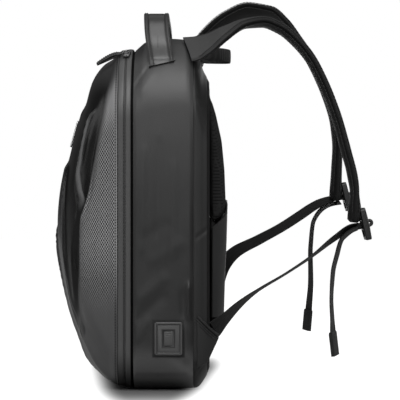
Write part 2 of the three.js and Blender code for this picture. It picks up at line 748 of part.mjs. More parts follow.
const mainDepths = [0, 0.17, 0.37, 0.63, 0.85, 1].map((share) => mainFront + share * mainDepth);
addMesh('main_body', ringWall([
  ...mainDepths.map((y) => ({ y, inset: 0 })),
  ...mainDepths.toReversed().map((y) => ({ y, inset: clothWall })),
]), 'coated');

const rearDepths = [0, 0.25, 0.5, 0.72, 1].map((share) => rearFront + share * rearDepth);
addMesh('rear_band', ringWall([
  ...rearDepths.map((y) => ({ y, inset: 0 })),
  ...rearDepths.toReversed().map((y) => ({ y, inset: clothWall })),
]), 'coated');
addMesh('back_panel', panelGeometry(), 'mesh');

// Pads, straps and their fittings, a pair at a time
for (const [sideName, its] of Object.entries(sides)) {
  const strapEnd = strapPlace(its.strapRows[its.strapRows.length - 1], its.side);
  const strap = bandSweep(strapStations(its.strapRows, its.side), 0.28, 2);
  const webbing = bandSweep(webbingStations(its, strapEnd), 0, 2);
  const tail = bandSweep(tailStations(its.tailRows, strapEnd, its.side), 0);
  addMesh(`back_pad_upper_${sideName}`, padGeometry(upperPadRows, its.side), 'mesh');
  addMesh(`back_pad_lower_${sideName}`, padGeometry(lowerPadRows, its.side), 'mesh');
  addMesh(`anchor_tab_${sideName}`, tabGeometry(its.side), 'coated');
  addMesh(`shoulder_strap_${sideName}`, strap, 'strap');
  addMesh(`strap_webbing_${sideName}`, webbing, 'webbing');
  addMesh(`strap_tail_${sideName}`, tail, 'webbing');
  const adjuster = addMesh(`strap_adjuster_${sideName}`, adjusterGeometry(), 'plastic');
  adjuster.rotation.x = Math.PI / 2 + adjusterLean;
  adjuster.position.set(strapEnd.x, strapEnd.y + its.adjusterStand, strapEnd.z + its.adjusterRise);
  const ringGeometry = new THREE.TorusGeometry(ringRadius, ringThick, 6, 14);
  const ring = addMesh(`adjuster_ring_${sideName}`, ringGeometry, 'plastic');
  ring.rotation.y = Math.PI / 2;
  ring.position.copy(adjuster.position);
  ring.position.y += adjusterThick / 2 + ringRadius + ringThick + gap - ringSink;
  ring.position.z += ringRise;
}
addMesh('luggage_sleeve', sleeveGeometry(), 'coated');

// Top handle: its legs are sewn to the round shoulders, and its grip stands above the top
const handleDepth = mainFront + handlePlace * mainDepth;
const shoulder = { x: halfWidth - topRadius, z: bodyHeight - topRadius };
const legRadius = topRadius + gap + handleThick / 2;
const legRows = [{ degrees: 33, lean: 0.27 }, { degrees: 40, lean: 0.21 }];
const gripRows = [
  { out: 0.77, up: -0.533, lean: 0.12 },
  { out: 0.7, up: 0.1, lean: 0.045 },
  { out: 0.62, up: 0.62, lean: 0.015 },
  { out: 0.48, up: 0.9, lean: 0 },
  { out: 0.1, up: 1, lean: 0 },
];
const handleHalf = [
  ...legRows.map(({ degrees, lean }) => {
    const angle = THREE.MathUtils.degToRad(degrees);
    const [x, z] = [shoulder.x + legRadius * Math.cos(angle), shoulder.z + legRadius * Math.sin(angle)];
    return new THREE.Vector3(x, handleDepth + lean * handleWidth, z);
  }),
  ...gripRows.map(({ out, up, lean }) => new THREE.Vector3(
    shoulder.x + out * topRadius, handleDepth + lean * handleWidth, bodyHeight + up * handleRise)),
];
const handlePlaces = [
  ...handleHalf,
  ...handleHalf.toReversed().map((place) => new THREE.Vector3(-place.x, place.y, place.z)),
];
addMesh('carry_handle', bandSweep(handlePlaces.map((place) => ({
  place,
  across: new THREE.Vector3(0, 1, 0),
  wide: handleWidth,
  thick: handleThick,
})), 0.25), 'handle');

// Haul loop: webbing on edge, out of the rear seam and back into it
const loopRows = [
  { across: -0.5, out: 0 }, { across: -0.5, out: 0.3 }, { across: -0.42, out: 0.68 }, { across: -0.22, out: 0.93 },
  { across: 0, out: 1 },
  { across: 0.22, out: 0.93 }, { across: 0.42, out: 0.68 }, { across: 0.5, out: 0.3 }, { across: 0.5, out: 0 },
];
const loopHeight = bodyHeight - loopDrop;
const loopSeat = backAt(loopHeight - loopWidth / 2) + gap;
addMesh('haul_loop', bandSweep(loopRows.map((row) => ({
  place: new THREE.Vector3(
    row.across * loopSpan, loopSeat + row.out * loopReach, loopHeight - loopSag * row.out ** 2),
  across: new THREE.Vector3(0, 0, 1),
  wide: loopWidth,
  thick: loopThick,
})), 0), 'webbing');

// Charging port on the wearer's right
const portFrameShape = rectangle(portWidth, portHeight, 2);
portFrameShape.holes.push(rectangle(portWidth - 2 * portRimWidth, portHeight - 2 * portRimWidth, 1));
const portFrame = addMesh('port_frame',
  new THREE.ExtrudeGeometry(portFrameShape, { depth: portRimThick, bevelEnabled: false }), 'rubber');
const flapWidth = portWidth - 2 * (portRimWidth + gap);
const flapHeight = portHeight - 2 * (portRimWidth + gap);
const portFlapShape = rectangle(flapWidth, flapHeight, 1);
const portFlap = addMesh('port_flap',
  new THREE.ExtrudeGeometry(portFlapShape, { depth: portFlapThick, bevelEnabled: false }), 'rubber');
for (const piece of [portFrame, portFlap]) {
  piece.geometry.rotateX(Math.PI / 2).rotateZ(Math.PI / 2);
  piece.position.set(halfWidth + gap, mainFront + 0.59 * mainDepth, portHeightOnBody);
}

// Badge on the shell's slope
const badgeShape = rectangle(badgeWidth, badgeLength, 2);
const badge = addMesh('front_badge',
  new THREE.ExtrudeGeometry(badgeShape, { depth: badgeThick, bevelEnabled: false }), 'badge');
const shellMiddle = shellRows.map((row) => (
  { z: row.top * bodyHeight, y: shellRear - row.depth * shellDepth })).reverse();
const badgeLowY = lookUp(shellMiddle, 'z', badgeHeightOnShell - badgeLength / 2, 'y');
const badgeHighY = lookUp(shellMiddle, 'z', badgeHeightOnShell + badgeLength / 2, 'y');
const badgeLean = Math.atan2(badgeHighY - badgeLowY, badgeLength);
badge.rotation.x = Math.PI / 2 - badgeLean;
badge.position.set(0, (badgeLowY + badgeHighY) / 2 - gap - badgeLift, badgeHeightOnShell);

// Slider and puller on the shoulder of the main zip
const sliderDepth = (mainZipFront + mainZipRear) / 2;
const sliderTop = lookUp(sideRows, 'y', sliderDepth, 'top') * bodyHeight;
const sliderAcross = halfWidth - sliderInset;
const sliderTilt = Math.asin((sliderAcross - shoulder.x) / topRadius);
const sliderGroup = new THREE.Group();
sliderGroup.position.set(sliderAcross, sliderDepth, sliderTop - topRadius * (1 - Math.cos(sliderTilt)));
sliderGroup.rotation.y = sliderTilt;
const slider = addMesh('zip_slider', new THREE.BoxGeometry(sliderLength, sliderWidth, sliderThick), 'badge');
slider.position.set(0, 0, sliderThick / 2 + gap);
const pullerRows = [{ out: 0, up: 0 }, { out: 0.3, up: -0.07 }, { out: 0.65, up: -0.22 }, { out: 1, up: -0.46 }];
const pullerStart = { y: -sliderWidth / 2 - gap, z: sliderThick / 2 + gap + pullerThick / 2 };
const puller = addMesh('zip_puller', bandSweep(pullerRows.map((row) => ({
  place: new THREE.Vector3(0, pullerStart.y - row.out * pullerLength, pullerStart.z + row.up * pullerLength),
  across: new THREE.Vector3(1, 0, 0),
  wide: pullerWidth,
  thick: pullerThick,
})), 0.2), 'plastic');
sliderGroup.add(slider, puller);
backpack.add(sliderGroup);

export default backpack;
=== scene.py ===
import math
import bpy
from mathutils import Matrix, Vector, noise


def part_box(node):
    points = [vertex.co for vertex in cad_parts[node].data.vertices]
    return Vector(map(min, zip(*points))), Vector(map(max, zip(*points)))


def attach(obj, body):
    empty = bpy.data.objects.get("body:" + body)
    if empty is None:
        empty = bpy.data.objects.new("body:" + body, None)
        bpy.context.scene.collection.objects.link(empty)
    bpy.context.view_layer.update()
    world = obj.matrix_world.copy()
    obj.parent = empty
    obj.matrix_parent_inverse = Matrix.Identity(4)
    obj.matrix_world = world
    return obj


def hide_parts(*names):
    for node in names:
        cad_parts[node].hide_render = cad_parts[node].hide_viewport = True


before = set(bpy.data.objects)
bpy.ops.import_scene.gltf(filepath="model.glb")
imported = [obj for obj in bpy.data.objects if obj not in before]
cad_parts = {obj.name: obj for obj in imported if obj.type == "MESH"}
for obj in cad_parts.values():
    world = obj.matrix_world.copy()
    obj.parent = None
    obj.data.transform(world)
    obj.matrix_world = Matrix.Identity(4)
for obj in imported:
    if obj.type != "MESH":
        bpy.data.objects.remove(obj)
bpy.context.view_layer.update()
mm = 0.001
print("frame loaded")


# camera and studio

view = {"distance": 2.0, "side": 0.048, "height": 0.25, "lens": 128.2}
camera = bpy.data.objects.new("viewCamera", bpy.data.cameras.new("viewCamera"))
bpy.context.collection.objects.link(camera)
camera.location = (view["distance"], view["side"], view["height"])
camera.rotation_euler = (math.pi / 2, 0, math.pi / 2)
camera.data.lens = view["lens"]
camera.data.sensor_width = 36
camera.data.clip_end = 50
bpy.context.scene.camera = camera
bpy.context.scene.view_settings.view_transform = "Standard"


def addLight(name, place, aim, size, power):
    data = bpy.data.lights.new(name, "AREA")
    data.shape = "RECTANGLE"
    data.size, data.size_y = size
    data.energy = power
    lamp = bpy.data.objects.new(name, data)
    bpy.context.collection.objects.link(lamp)
    lamp.location = place
    lamp.rotation_euler = (Vector(aim) - Vector(place)).to_track_quat("-Z", "Y").to_euler()


studio = {"world": 0.08, "key": 40, "top": 12, "front": 8, "rear": 20, "left": 9, "fill": 3}
# the key light gives the sheen on the round shoulders
addLight("keyLight", (1.45, 0.05, 1.6), (0, 0.0, 0.42), (1.6, 1.3), studio["key"])
addLight("topLight", (-0.1, 0.0, 2.2), (0, 0, 0), (2.2, 2.2), studio["top"])
addLight("frontLight", (0.7, -1.9, 1.0), (0, -0.1, 0.25), (0.9, 1.3), studio["front"])
addLight("fillLight", (2.2, -0.2, 0.12), (0, 0, 0.1), (1.0, 0.5), studio["fill"])
addLight("leftLight", (-2.1, 0.4, 0.5), (0, 0.05, 0.2), (1.2, 0.8), studio["left"])
addLight("rearLight", (-0.5, 2.3, 1.2), (0, 0.1, 0.3), (1.0, 1.2), studio["rear"])


# shader helpers

class Socket:
    # one output of a node, so that maths on it reads as a sum
    def __init__(self, paint, socket):
        self.paint = paint
        self.socket = socket

    def maths(self, operation, first, second=None):
        values = {0: first}
        if second is not None:
            values[1] = second
        return self.paint.add("ShaderNodeMath", {"operation": operation}, values)

    def __add__(self, other):
        return self.maths("ADD", self, other)

    def __radd__(self, other):
        return self.maths("ADD", other, self)

    def __sub__(self, other):
        return self.maths("SUBTRACT", self, other)

    def __rsub__(self, other):
        return self.maths("SUBTRACT", other, self)

    def __mul__(self, other):
        return self.maths("MULTIPLY", self, other)

    def __rmul__(self, other):
        return self.maths("MULTIPLY", other, self)

    def __truediv__(self, other):
        return self.maths("DIVIDE", self, other)

    def sine(self):
        return self.maths("SINE", self)

    def cosine(self):
        return self.maths("COSINE", self)

    def size(self):
        return self.maths("ABSOLUTE", self)

    def least(self, other):
        return self.maths("MINIMUM", self, other)

    def most(self, other):
        return self.maths("MAXIMUM", self, other)

    def rise(self, low, high):
        # 0 below low, 1 above high, smooth between
        settings = {"interpolation_type": "SMOOTHSTEP"}
        return self.paint.add("ShaderNodeMapRange", settings, {0: self, 1: low, 2: high, 3: 0.0, 4: 1.0})

    def bell(self, centre, width):
        # 1 at centre, 0 a width away
        return 1 - (self - centre).size().rise(0, width)


class Paint:
    # one material and the nodes it is made of
    def __init__(self, name):
        self.material = bpy.data.materials.new(name)
        self.material.use_nodes = True
        self.tree = self.material.node_tree
        self.tree.nodes.clear()
        self.cache = {}

    def add(self, kind, settings=None, values=None, output=0):
        node = self.tree.nodes.new(kind)
        for key, value in (settings or {}).items():
            if key == "points":
                curve = node.mapping.curves[0]
                while len(curve.points) < len(value):
                    curve.points.new(0.5, 0.5)
                for point, (x, y) in zip(curve.points, value):
                    point.location = (x, y)
                node.mapping.update()
            else:
                setattr(node, key, value)
        for key, value in (values or {}).items():
            if isinstance(value, Socket):
                self.tree.links.new(value.socket, node.inputs[key])
            else:
                node.inputs[key].default_value = value
        return Socket(self, node.outputs[output]) if node.outputs else None

    def place(self, axis):
        # the x, y or z of a point of the piece, in metres
        if "object" not in self.cache:
            self.cache["object"] = self.add("ShaderNodeTexCoord", output=3)
            self.cache["split"] = self.add("ShaderNodeSeparateXYZ", values={0: self.cache["object"]})
        node = self.cache["split"].socket.node
        return Socket(self, node.outputs["XYZ".index(axis)])

    def cloth(self, axis):
        # the u or v of the piece's own map
        if "uv" not in self.cache:
            self.cache["uv"] = self.add("ShaderNodeUVMap")
            self.cache["uvSplit"] = self.add("ShaderNodeSeparateXYZ", values={0: self.cache["uv"]})
        node = self.cache["uvSplit"].socket.node
        return Socket(self, node.outputs["XYZ".index(axis)])

    def clouds(self, scale, detail=3.0, stretch=(1, 1, 1)):
        self.place("X")
        moved = self.add("ShaderNodeMapping", values={0: self.cache["object"], 3: stretch})
        return self.add("ShaderNodeTexNoise", {"noise_dimensions": "3D"},
                        {"Vector": moved, "Scale": scale, "Detail": detail})

    def blend(self, share, first, second):
        # two greys or colours mixed by a share
        return self.add("ShaderNodeMix", {"data_type": "RGBA"}, {0: share, 6: first, 7: second}, output=2)

    def finish(self, colour, roughness, height=None, depth=0.0005, metallic=0.0, specular=0.5, glow=None):
        settings = {"Base Color": colour, "Roughness": roughness, "Metallic": metallic,
                    "Specular IOR Level": specular}
        if glow is not None:
            settings["Emission Color"] = glow
            settings["Emission Strength"] = 1.0
        if height is not None:
            relief = {"Height": height, "Distance": depth, "Strength": 1.0}
            settings["Normal"] = self.add("ShaderNodeBump", values=relief)
        surface = self.add("ShaderNodeBsdfPrincipled", values=settings)
        self.add("ShaderNodeOutputMaterial", values={"Surface": surface})
        return self.material


def grey(value):
    return (value, value, value, 1)


fullTurn = 2 * math.pi


# floor and world

# the glow keeps the floor white but for a painted contact shadow on its dark tone near the bag, which narrows
# towards the camera
floor = {
    "tone": 0.12, "middle": -0.018, "base": (0.1, 0.045), "narrows": 0.11, "fade": (0.2, 0.042),
    "bounce": 0.42,
}


def makeStudio():
    floorPaint = Paint("paleFloor")
    x, y = floorPaint.place("X"), floorPaint.place("Y")
    away = (x.size() - floor["base"][0]).most(0) / floor["fade"][0]
    beside = (y - floor["middle"]).size() + x * floor["narrows"]
    along = (beside - floor["base"][1]).most(0) / floor["fade"][1]
    # painted contact shadow: the glow mask is black near the bag and rises to white away from it
    glow = (away * away + along * along).rise(0, 1)
    white = floorPaint.blend(glow, grey(0), grey(1))
    floorMaterial = floorPaint.finish(grey(floor["tone"]), 0.8, specular=0.1, glow=white)
    tree = floorMaterial.node_tree
    # other rays see the floor glowing at the bounce strength: painted bounce light from the floor onto the bag
    dim = floorPaint.add("ShaderNodeEmission", values={"Color": white, "Strength": floor["bounce"]})
    seen = floorPaint.add("ShaderNodeLightPath")
    lit = Socket(floorPaint, tree.nodes["Principled BSDF"].outputs[0])
    both = floorPaint.add("ShaderNodeMixShader", values={0: seen, 1: dim, 2: lit})
    tree.links.new(both.socket, tree.nodes["Material Output"].inputs["Surface"])
    bpy.ops.object.select_all(action="DESELECT")
    bpy.ops.mesh.primitive_plane_add(size=14, location=(0, 0, -0.0005))
    ground = bpy.context.object
    ground.name = "paleFloor"
    ground.data.materials.append(floorMaterial)
    world = bpy.data.worlds.new("studioWorld")
    bpy.context.scene.world = world
    world.use_nodes = True
    nodes = world.node_tree.nodes
    links = world.node_tree.links
    background = nodes["Background"]
    seen = nodes.new("ShaderNodeBackground")
    seen.inputs["Strength"].default_value = 1.0
    seen.inputs["Color"].default_value = (1, 1, 1, 1)
    background.inputs["Color"].default_value = (1, 1, 1, 1)
    background.inputs["Strength"].default_value = studio["world"]
    path = nodes.new("ShaderNodeLightPath")
    mix = nodes.new("ShaderNodeMixShader")
    links.new(path.outputs["Is Camera Ray"], mix.inputs[0])
    links.new(background.outputs[0], mix.inputs[1])
    links.new(seen.outputs[0], mix.inputs[2])
    links.new(mix.outputs[0], nodes["World Output"].inputs[0])


makeStudio()
print("studio set")


# tables and forms shared by the pieces

def smoothAt(points, at):
    # a smooth curve through (place, value) points
    if at <= points[0][0]:
        return points[0][1]
    if at >= points[-1][0]:
        return points[-1][1]
    k = next(i for i in range(1, len(points)) if at <= points[i][0])
    (x0, y0), (x1, y1) = points[k - 1], points[k]
    step = x1 - x0

    def slope(i):
        if i == 0 or i == len(points) - 1:
            a, b = (0, 1) if i == 0 else (i - 1, i)
            return (points[b][1] - points[a][1]) / (points[b][0] - points[a][0])
        before = (points[i][1] - points[i - 1][1]) / (points[i][0] - points[i - 1][0])
        after = (points[i + 1][1] - points[i][1]) / (points[i + 1][0] - points[i][0])
        if before * after <= 0:
            return 0
        return 2 * before * after / (before + after)

    t = (at - x0) / step
    a, b = slope(k - 1) * step, slope(k) * step
    return ((2 * t ** 3 - 3 * t ** 2 + 1) * y0 + (t ** 3 - 2 * t ** 2 + t) * a
            + (3 * t ** 2 - 2 * t ** 3) * y1 + (t ** 3 - t ** 2) * b)


def ease(value, low, high):
    t = min(1, max(0, (value - low) / (high - low)))
    return t * t * (3 - 2 * t)


def bell(value, centre, width):
    return math.exp(-((value - centre) / width) ** 2)


body = {
    "height": 470, "half": 150, "topRadius": 100, "bottomRadius": 48,
    "mainFront": -39, "mainRear": 39, "shellRear": -60, "shellDepth": 89,
    "rearFront": 39.3, "rearBack": 57.3, "panelOuter": 60.6,
}
sideTop = [(-60, 0.963), (-49.2, 0.97), (-39, 0.969), (-25.7, 0.988), (-10.1, 0.995), (10.1, 1),
           (27.3, 0.998), (39, 0.981), (43.8, 0.962), (48.3, 0.936), (52.3, 0.909), (57.3, 0.889),
           (60.6, 0.875)]
sideBottom = [(-60, 0.0085), (-49.2, 0.005), (-39, 0), (39, 0), (43.8, 0.0015), (48.3, 0.0085), (52.3, 0.02),
              (57.3, 0.038), (60.6, 0.056)]
sideHalf = [(-60, 1), (-49.2, 1.002), (-39, 1), (27.3, 1), (39, 0.998), (43.8, 0.995), (48.3, 0.99),
            (52.3, 0.982), (57.3, 0.973), (60.6, 0.945)]
shellTop = [(0, 0.963), (0.07, 0.957), (0.135, 0.95), (0.21, 0.943), (0.281, 0.935), (0.382, 0.916),
            (0.483, 0.886), (0.596, 0.816), (0.708, 0.748), (0.809, 0.676), (0.899, 0.614), (0.961, 0.545),
            (1, 0.45)]
shellBottom = [(0, 0.0085), (0.07, 0.011), (0.135, 0.016), (0.21, 0.022), (0.281, 0.031), (0.382, 0.049),
               (0.483, 0.077), (0.596, 0.127), (0.708, 0.176), (0.809, 0.235), (0.899, 0.3), (0.961, 0.352),
               (1, 0.42)]
shellHalf = [(0, 1), (0.07, 0.992), (0.135, 0.982), (0.21, 0.968), (0.281, 0.95), (0.382, 0.913),
             (0.483, 0.863), (0.596, 0.787), (0.708, 0.7), (0.809, 0.587), (0.899, 0.447), (0.961, 0.28),
             (1, 0.01)]


def outlineAt(share, half, top, bottom, topArc, bottomArc):
    # share runs from the middle of the bottom round by +X and back; gives x, z and the outward direction
    mirrored = share > 0.5
    t = 2 * (1 - share if mirrored else share)
    if t < 0.14:
        x, z, nx, nz = (half - bottomArc) * t / 0.14, bottom, 0, -1
    elif t < 0.25:
        angle = (t - 0.14) / 0.11 * math.pi / 2
        nx, nz = math.sin(angle), -math.cos(angle)
        x, z = half - bottomArc + bottomArc * nx, bottom + bottomArc + bottomArc * nz
    elif t < 0.7:
        low, high = bottom + bottomArc, top - topArc
        x, z, nx, nz = half, low + (high - low) * (t - 0.25) / 0.45, 1, 0
    elif t < 0.93:
        angle = (t - 0.7) / 0.23 * math.pi / 2
        nx, nz = math.cos(angle), math.sin(angle)
        x, z = half - topArc + topArc * nx, top - topArc + topArc * nz
    else:
        x, z, nx, nz = (half - topArc) * (1 - t) / 0.07, top, 0, 1
    return (-x, z, -nx, nz) if mirrored else (x, z, nx, nz)


def sidePoint(share, y):
    half = smoothAt(sideHalf, y) * body["half"]
    top = smoothAt(sideTop, y) * body["height"]
    bottom = smoothAt(sideBottom, y) * body["height"]
    arcs = half / body["half"]
    return outlineAt(share, half, top, bottom, body["topRadius"] * arcs, body["bottomRadius"] * arcs)


def deselect():
    if bpy.context.object and bpy.context.object.mode != "OBJECT":
        bpy.ops.object.mode_set(mode="OBJECT")
    bpy.ops.object.select_all(action="DESELECT")


def pickOnly(piece):
    deselect()
    piece.select_set(True)
    bpy.context.view_layer.objects.active = piece


def wrapGrid(name, across, along, pointAt, mapSize, centre=None):
    # a flat grid wrapped round a form: pointAt(u, v) gives millimetres, mapSize the map's size in metres
    deselect()
    bpy.ops.mesh.primitive_grid_add(x_subdivisions=across, y_subdivisions=along, size=1, calc_uvs=True)
    piece = bpy.context.object
    piece.name = name
    for vertex in piece.data.vertices:
        vertex.co = Vector(pointAt(vertex.co.x + 0.5, vertex.co.y + 0.5)) * mm
    for loop in piece.data.uv_layers.active.data:
        loop.uv = (loop.uv[0] * mapSize[0], loop.uv[1] * mapSize[1])
    bpy.ops.object.mode_set(mode="EDIT")
    bpy.ops.mesh.select_all(action="SELECT")
    bpy.ops.mesh.remove_doubles(threshold=0.00001)
    bpy.ops.object.mode_set(mode="OBJECT")
    if centre is not None:
        middle = Vector(centre) * mm
        away = sum((f.center - middle).dot(f.normal) * f.area for f in piece.data.polygons)
        if away < 0:
            piece.data.flip_normals()
    return piece


def thicken(piece, wall, offset=-1):
    pickOnly(piece)
    solid = piece.modifiers.new("wall", "SOLIDIFY")
    solid.thickness = wall * mm
    solid.offset = offset
    solid.use_even_offset = True
    bpy.ops.object.modifier_apply(modifier="wall")


def smoothShade(piece, degrees=40):
    pickOnly(piece)
    bpy.ops.object.shade_smooth_by_angle(angle=math.radians(degrees))


def capEnds(piece):
    pickOnly(piece)
    bpy.ops.object.mode_set(mode="EDIT")
    bpy.ops.mesh.select_mode(type="EDGE")
    bpy.ops.mesh.select_all(action="DESELECT")
    bpy.ops.mesh.select_non_manifold()
    bpy.ops.mesh.fill(use_beauty=False)
    bpy.ops.mesh.select_all(action="SELECT")
    bpy.ops.mesh.normals_make_consistent(inside=False)
    bpy.ops.object.mode_set(mode="OBJECT")


def dress(piece, material, slotName, *nodes):
    # gives a piece its finish and its place in the frame, and hides the nodes it stands for
    piece.data.materials.clear()
    piece.data.materials.append(material)
    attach(piece, "root")
    if nodes:
        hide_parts(*nodes)
    return piece


def softenEdges(piece, width, segments=2):
    pickOnly(piece)
    edge = piece.modifiers.new("edge", "BEVEL")
    edge.width = width * mm
    edge.segments = segments
    edge.limit_method = "ANGLE"
    edge.angle_limit = math.radians(35)
    bpy.ops.object.modifier_apply(modifier="edge")
    smoothShade(piece)


def copyNode(nodeName, pieceName, bevel=None, levels=0):
    # a merged copy of a solid, with its edges softened
    piece = bpy.data.objects.new(pieceName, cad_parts[nodeName].data.copy())
    bpy.context.collection.objects.link(piece)
    pickOnly(piece)
    bpy.ops.object.mode_set(mode="EDIT")
    bpy.ops.mesh.select_all(action="SELECT")
    bpy.ops.mesh.remove_doubles(threshold=0.00002)
    bpy.ops.mesh.tris_convert_to_quads(face_threshold=0.7, shape_threshold=3.1)
    bpy.ops.mesh.dissolve_limited(angle_limit=0.02)
    bpy.ops.object.mode_set(mode="OBJECT")
    if bevel:
        softenEdges(piece, bevel, 3)
    if levels:
        rounding = piece.modifiers.new("round", "SUBSURF")
        rounding.levels = levels
        rounding.render_levels = levels
        bpy.ops.object.modifier_apply(modifier="round")
    smoothShade(piece)
    return piece


# finishes

def coatedCloth(name, shade=0.03, rough=0.4, folds=1.0, paintedSideLight=False):
    paint = Paint(name)
    clouds = paint.clouds(9, 3)
    fine = paint.clouds(900, 2)
    soft = paint.clouds(16, 2, (1, 1, 0.35))
    # painted shade: near black on the walls inside the deep gap of the expansion zip
    gapShade = paint.place("Y").rise(-0.0426, -0.0421) * (1 - paint.place("Y").rise(-0.0392, -0.0391))
    tone = shade * (0.92 + clouds * 0.18) * (1 - gapShade * 0.97)
    height = fine * 0.12 + soft * folds
    if paintedSideLight:
        # painted light: lighter towards the top as a painted sheen and at the foot as painted floor bounce,
        # and a painted shadow gap where the port is let in
        x, y, z = paint.place("X"), paint.place("Y"), paint.place("Z")
        # painted sheen towards the top and painted bounce light at the foot
        lift = 1 + z.rise(0.22, 0.42) * 1.75 + (1 - z.rise(0.002, 0.07)) * 8
        tone = shade * (0.42 + clouds * 0.15) * lift
        # painted shadow in the gap round the port frame
        beside = ((y - 0.007).size() - 0.018).most((z - 0.07).size() - 0.0215)
        portGapShade = ((beside - 0.0012).bell(0, 0.0032) * 1.3).least(1) * x.rise(0.14, 0.145)
        # painted shade: black on the side's front wall inside the expansion gap, and darker at the very top
        # above the painted sheen
        tone = tone * (1 - portGapShade * 0.93) * y.rise(-0.0391, -0.0386) * (1 - z.rise(0.424, 0.452) * 0.55)
    colour = paint.blend(tone, grey(0), grey(1))
    return paint.finish(colour, rough + clouds * 0.08, height, 0.0012, specular=0.42)


def strapCloth(name, outer=0.007, root=0.034, inner=0.003, mapWidth=0.15):
    # coated cloth outside, lighter where it is sewn on, and mesh on the wearer's side
    paint = Paint(name)
    around = (paint.cloth("X") * (fullTurn / mapWidth))
    outside = (0 - around.sine()).rise(-0.1, 0.15)
    edge = around.cosine().size().rise(0.7, 0.86)
    nearRoot = 1 - paint.place("Y").rise(0.075, 0.135)
    lines = (paint.cloth("Y") * (fullTurn / 0.0016)).sine()
    pitch = fullTurn / 0.0034
    holes = (paint.cloth("X") * pitch).sine() * (paint.cloth("Y") * pitch).sine()
    clouds = paint.clouds(25, 3)
    cloth = outer + nearRoot * (root - outer) * outside + clouds * 0.003
    tone = cloth * outside * (1 - edge * 0.5) + (inner + holes.rise(0, 0.6) * 0.006) * (1 - outside)
    colour = paint.blend(tone, grey(0), grey(1))
    height = lines * outside * 0.4 + holes * (1 - outside) + clouds * 0.8
    return paint.finish(colour, 0.6 + clouds * 0.15 - nearRoot * 0.1, height, 0.0002, specular=0.22)


def webbingCloth(name, shade, mapped=True):
    # a ribbed weave along the piece's map, or in space for the loop that is a copy of its solid
    paint = Paint(name)
    along, across = (paint.cloth("Y"), paint.cloth("X")) if mapped else (paint.place("X"), paint.place("Z"))
    rib = (along * (fullTurn / 0.0019)).sine()
    thread = (across * (fullTurn / 0.0013)).sine()
    weave = rib * 0.7 + thread * rib * 0.3
    colour = paint.blend(weave.rise(-0.8, 0.8), grey(shade * 0.6), grey(shade * 1.5))
    return paint.finish(colour, 0.62, weave, 0.00025, specular=0.25)


def airMesh(name, shade=0.008, pitch=0.0026):
    paint = Paint(name)
    turn = fullTurn / pitch
    x, z = paint.place("X"), paint.place("Z")
    holes = ((x * turn).cosine() * (z * (turn * 0.6)).cosine()).rise(0.1, 0.75)
    clouds = paint.clouds(40, 3)
    colour = paint.blend(holes, grey(shade * 1.6), grey(shade * 0.35))
    return paint.finish(colour, 0.85, 1 - holes + clouds * 0.3, 0.0006, specular=0.2)


def plastic(name, shade=0.02, rough=0.38):
    paint = Paint(name)
    grain = paint.clouds(1400, 2)
    clouds = paint.clouds(60, 3)
    colour = paint.blend(clouds, grey(shade * 0.85), grey(shade * 1.2))
    return paint.finish(colour, rough + clouds * 0.12, grain, 0.00006, specular=0.5)


coated = coatedCloth("coatedCloth", shade=0.025, rough=0.44)
sideCloth = coatedCloth("sideCloth", shade=0.026, rough=0.44, paintedSideLight=True)
bandCloth = coatedCloth("bandCloth", shade=0.05, rough=0.4, folds=0.2)
rearCloth = coatedCloth("rearCloth", shade=0.0075, rough=0.5, folds=0.8)
strapFabric = strapCloth("strapFabric")
webbing = webbingCloth("webbingWeave", shade=0.009)
padMesh = airMesh("padMesh", shade=0.007)
darkThread = plastic("darkThread", 0.012, 0.6)
blackPlastic = plastic("blackPlastic", 0.008)
print("finishes mixed")


# front shell

shell = {
    "around": 400, "rows": 118, "wall": 3.0,
    # y of the textured panel's front border, by height
    "panel": [(0, -149), (50, -149), (64, -112), (76, -104), (90, -109), (114, -113.5), (156, -112),
              (200, -111.5), (226, -109.5), (236, -106), (255, -100), (296, -91.4), (336, -83.2),
              (381, -73.7), (420, -63.6), (440, -60)],
    # x of the edge of each raised plate, by height, from the outermost
    "plates": [
        {"rise": 3.2, "edge": 3.2, "soft": 9, "crest": 1.3, "top": 379, "fall": 14, "half": [(50, 128),
         (72, 121), (84, 112), (105, 98), (149, 108), (182, 107), (215, 114), (243, 120), (270, 116.5),
         (299, 115), (335, 120), (372, 128)]},
        {"rise": 3.0, "edge": 2.6, "soft": 7, "crest": 1.2, "top": 301, "fall": 16, "half": [(46, 122),
         (60, 118), (73, 106), (99, 88), (144, 88), (193, 83), (250, 79), (290, 70)]},
        {"rise": 1.8, "edge": 2.4, "soft": 5, "crest": 0.9, "top": 213, "fall": 10, "half": [(78, 70),
         (110, 48), (150, 44), (190, 40), (212, 34)]},
    ],
    "highlights": (0.1, 0.06, 0.05),  # how strongly each plate's crest is painted light, a painted highlight along its ridge
    # the hollow between the outermost plate and the panel
    "hollow": {"depth": 6.5,
               "line": [(236, -106), (270, -102.5), (299, -100.5), (335, -93), (365, -85), (398, -78)],
               "width": [(228, 1.5), (245, 4), (270, 7), (299, 9), (335, 9), (365, 7), (398, 3), (410, 1.5)]},
}


def shellBase(u, depth):
    half = smoothAt(shellHalf, depth) * body["half"]
    top = smoothAt(shellTop, depth) * body["height"]
    bottom = smoothAt(shellBottom, depth) * body["height"]
    most = min(half, (top - bottom) / 2)
    topArc = min(most, half * (0.6667 + 0.3333 * depth))
    bottomArc = min(most, half * (0.32 + 0.68 * depth))
    x, z = outlineAt(u, half, top, bottom, topArc, bottomArc)[:2]
    return Vector((x, body["shellRear"] - depth * body["shellDepth"], z))


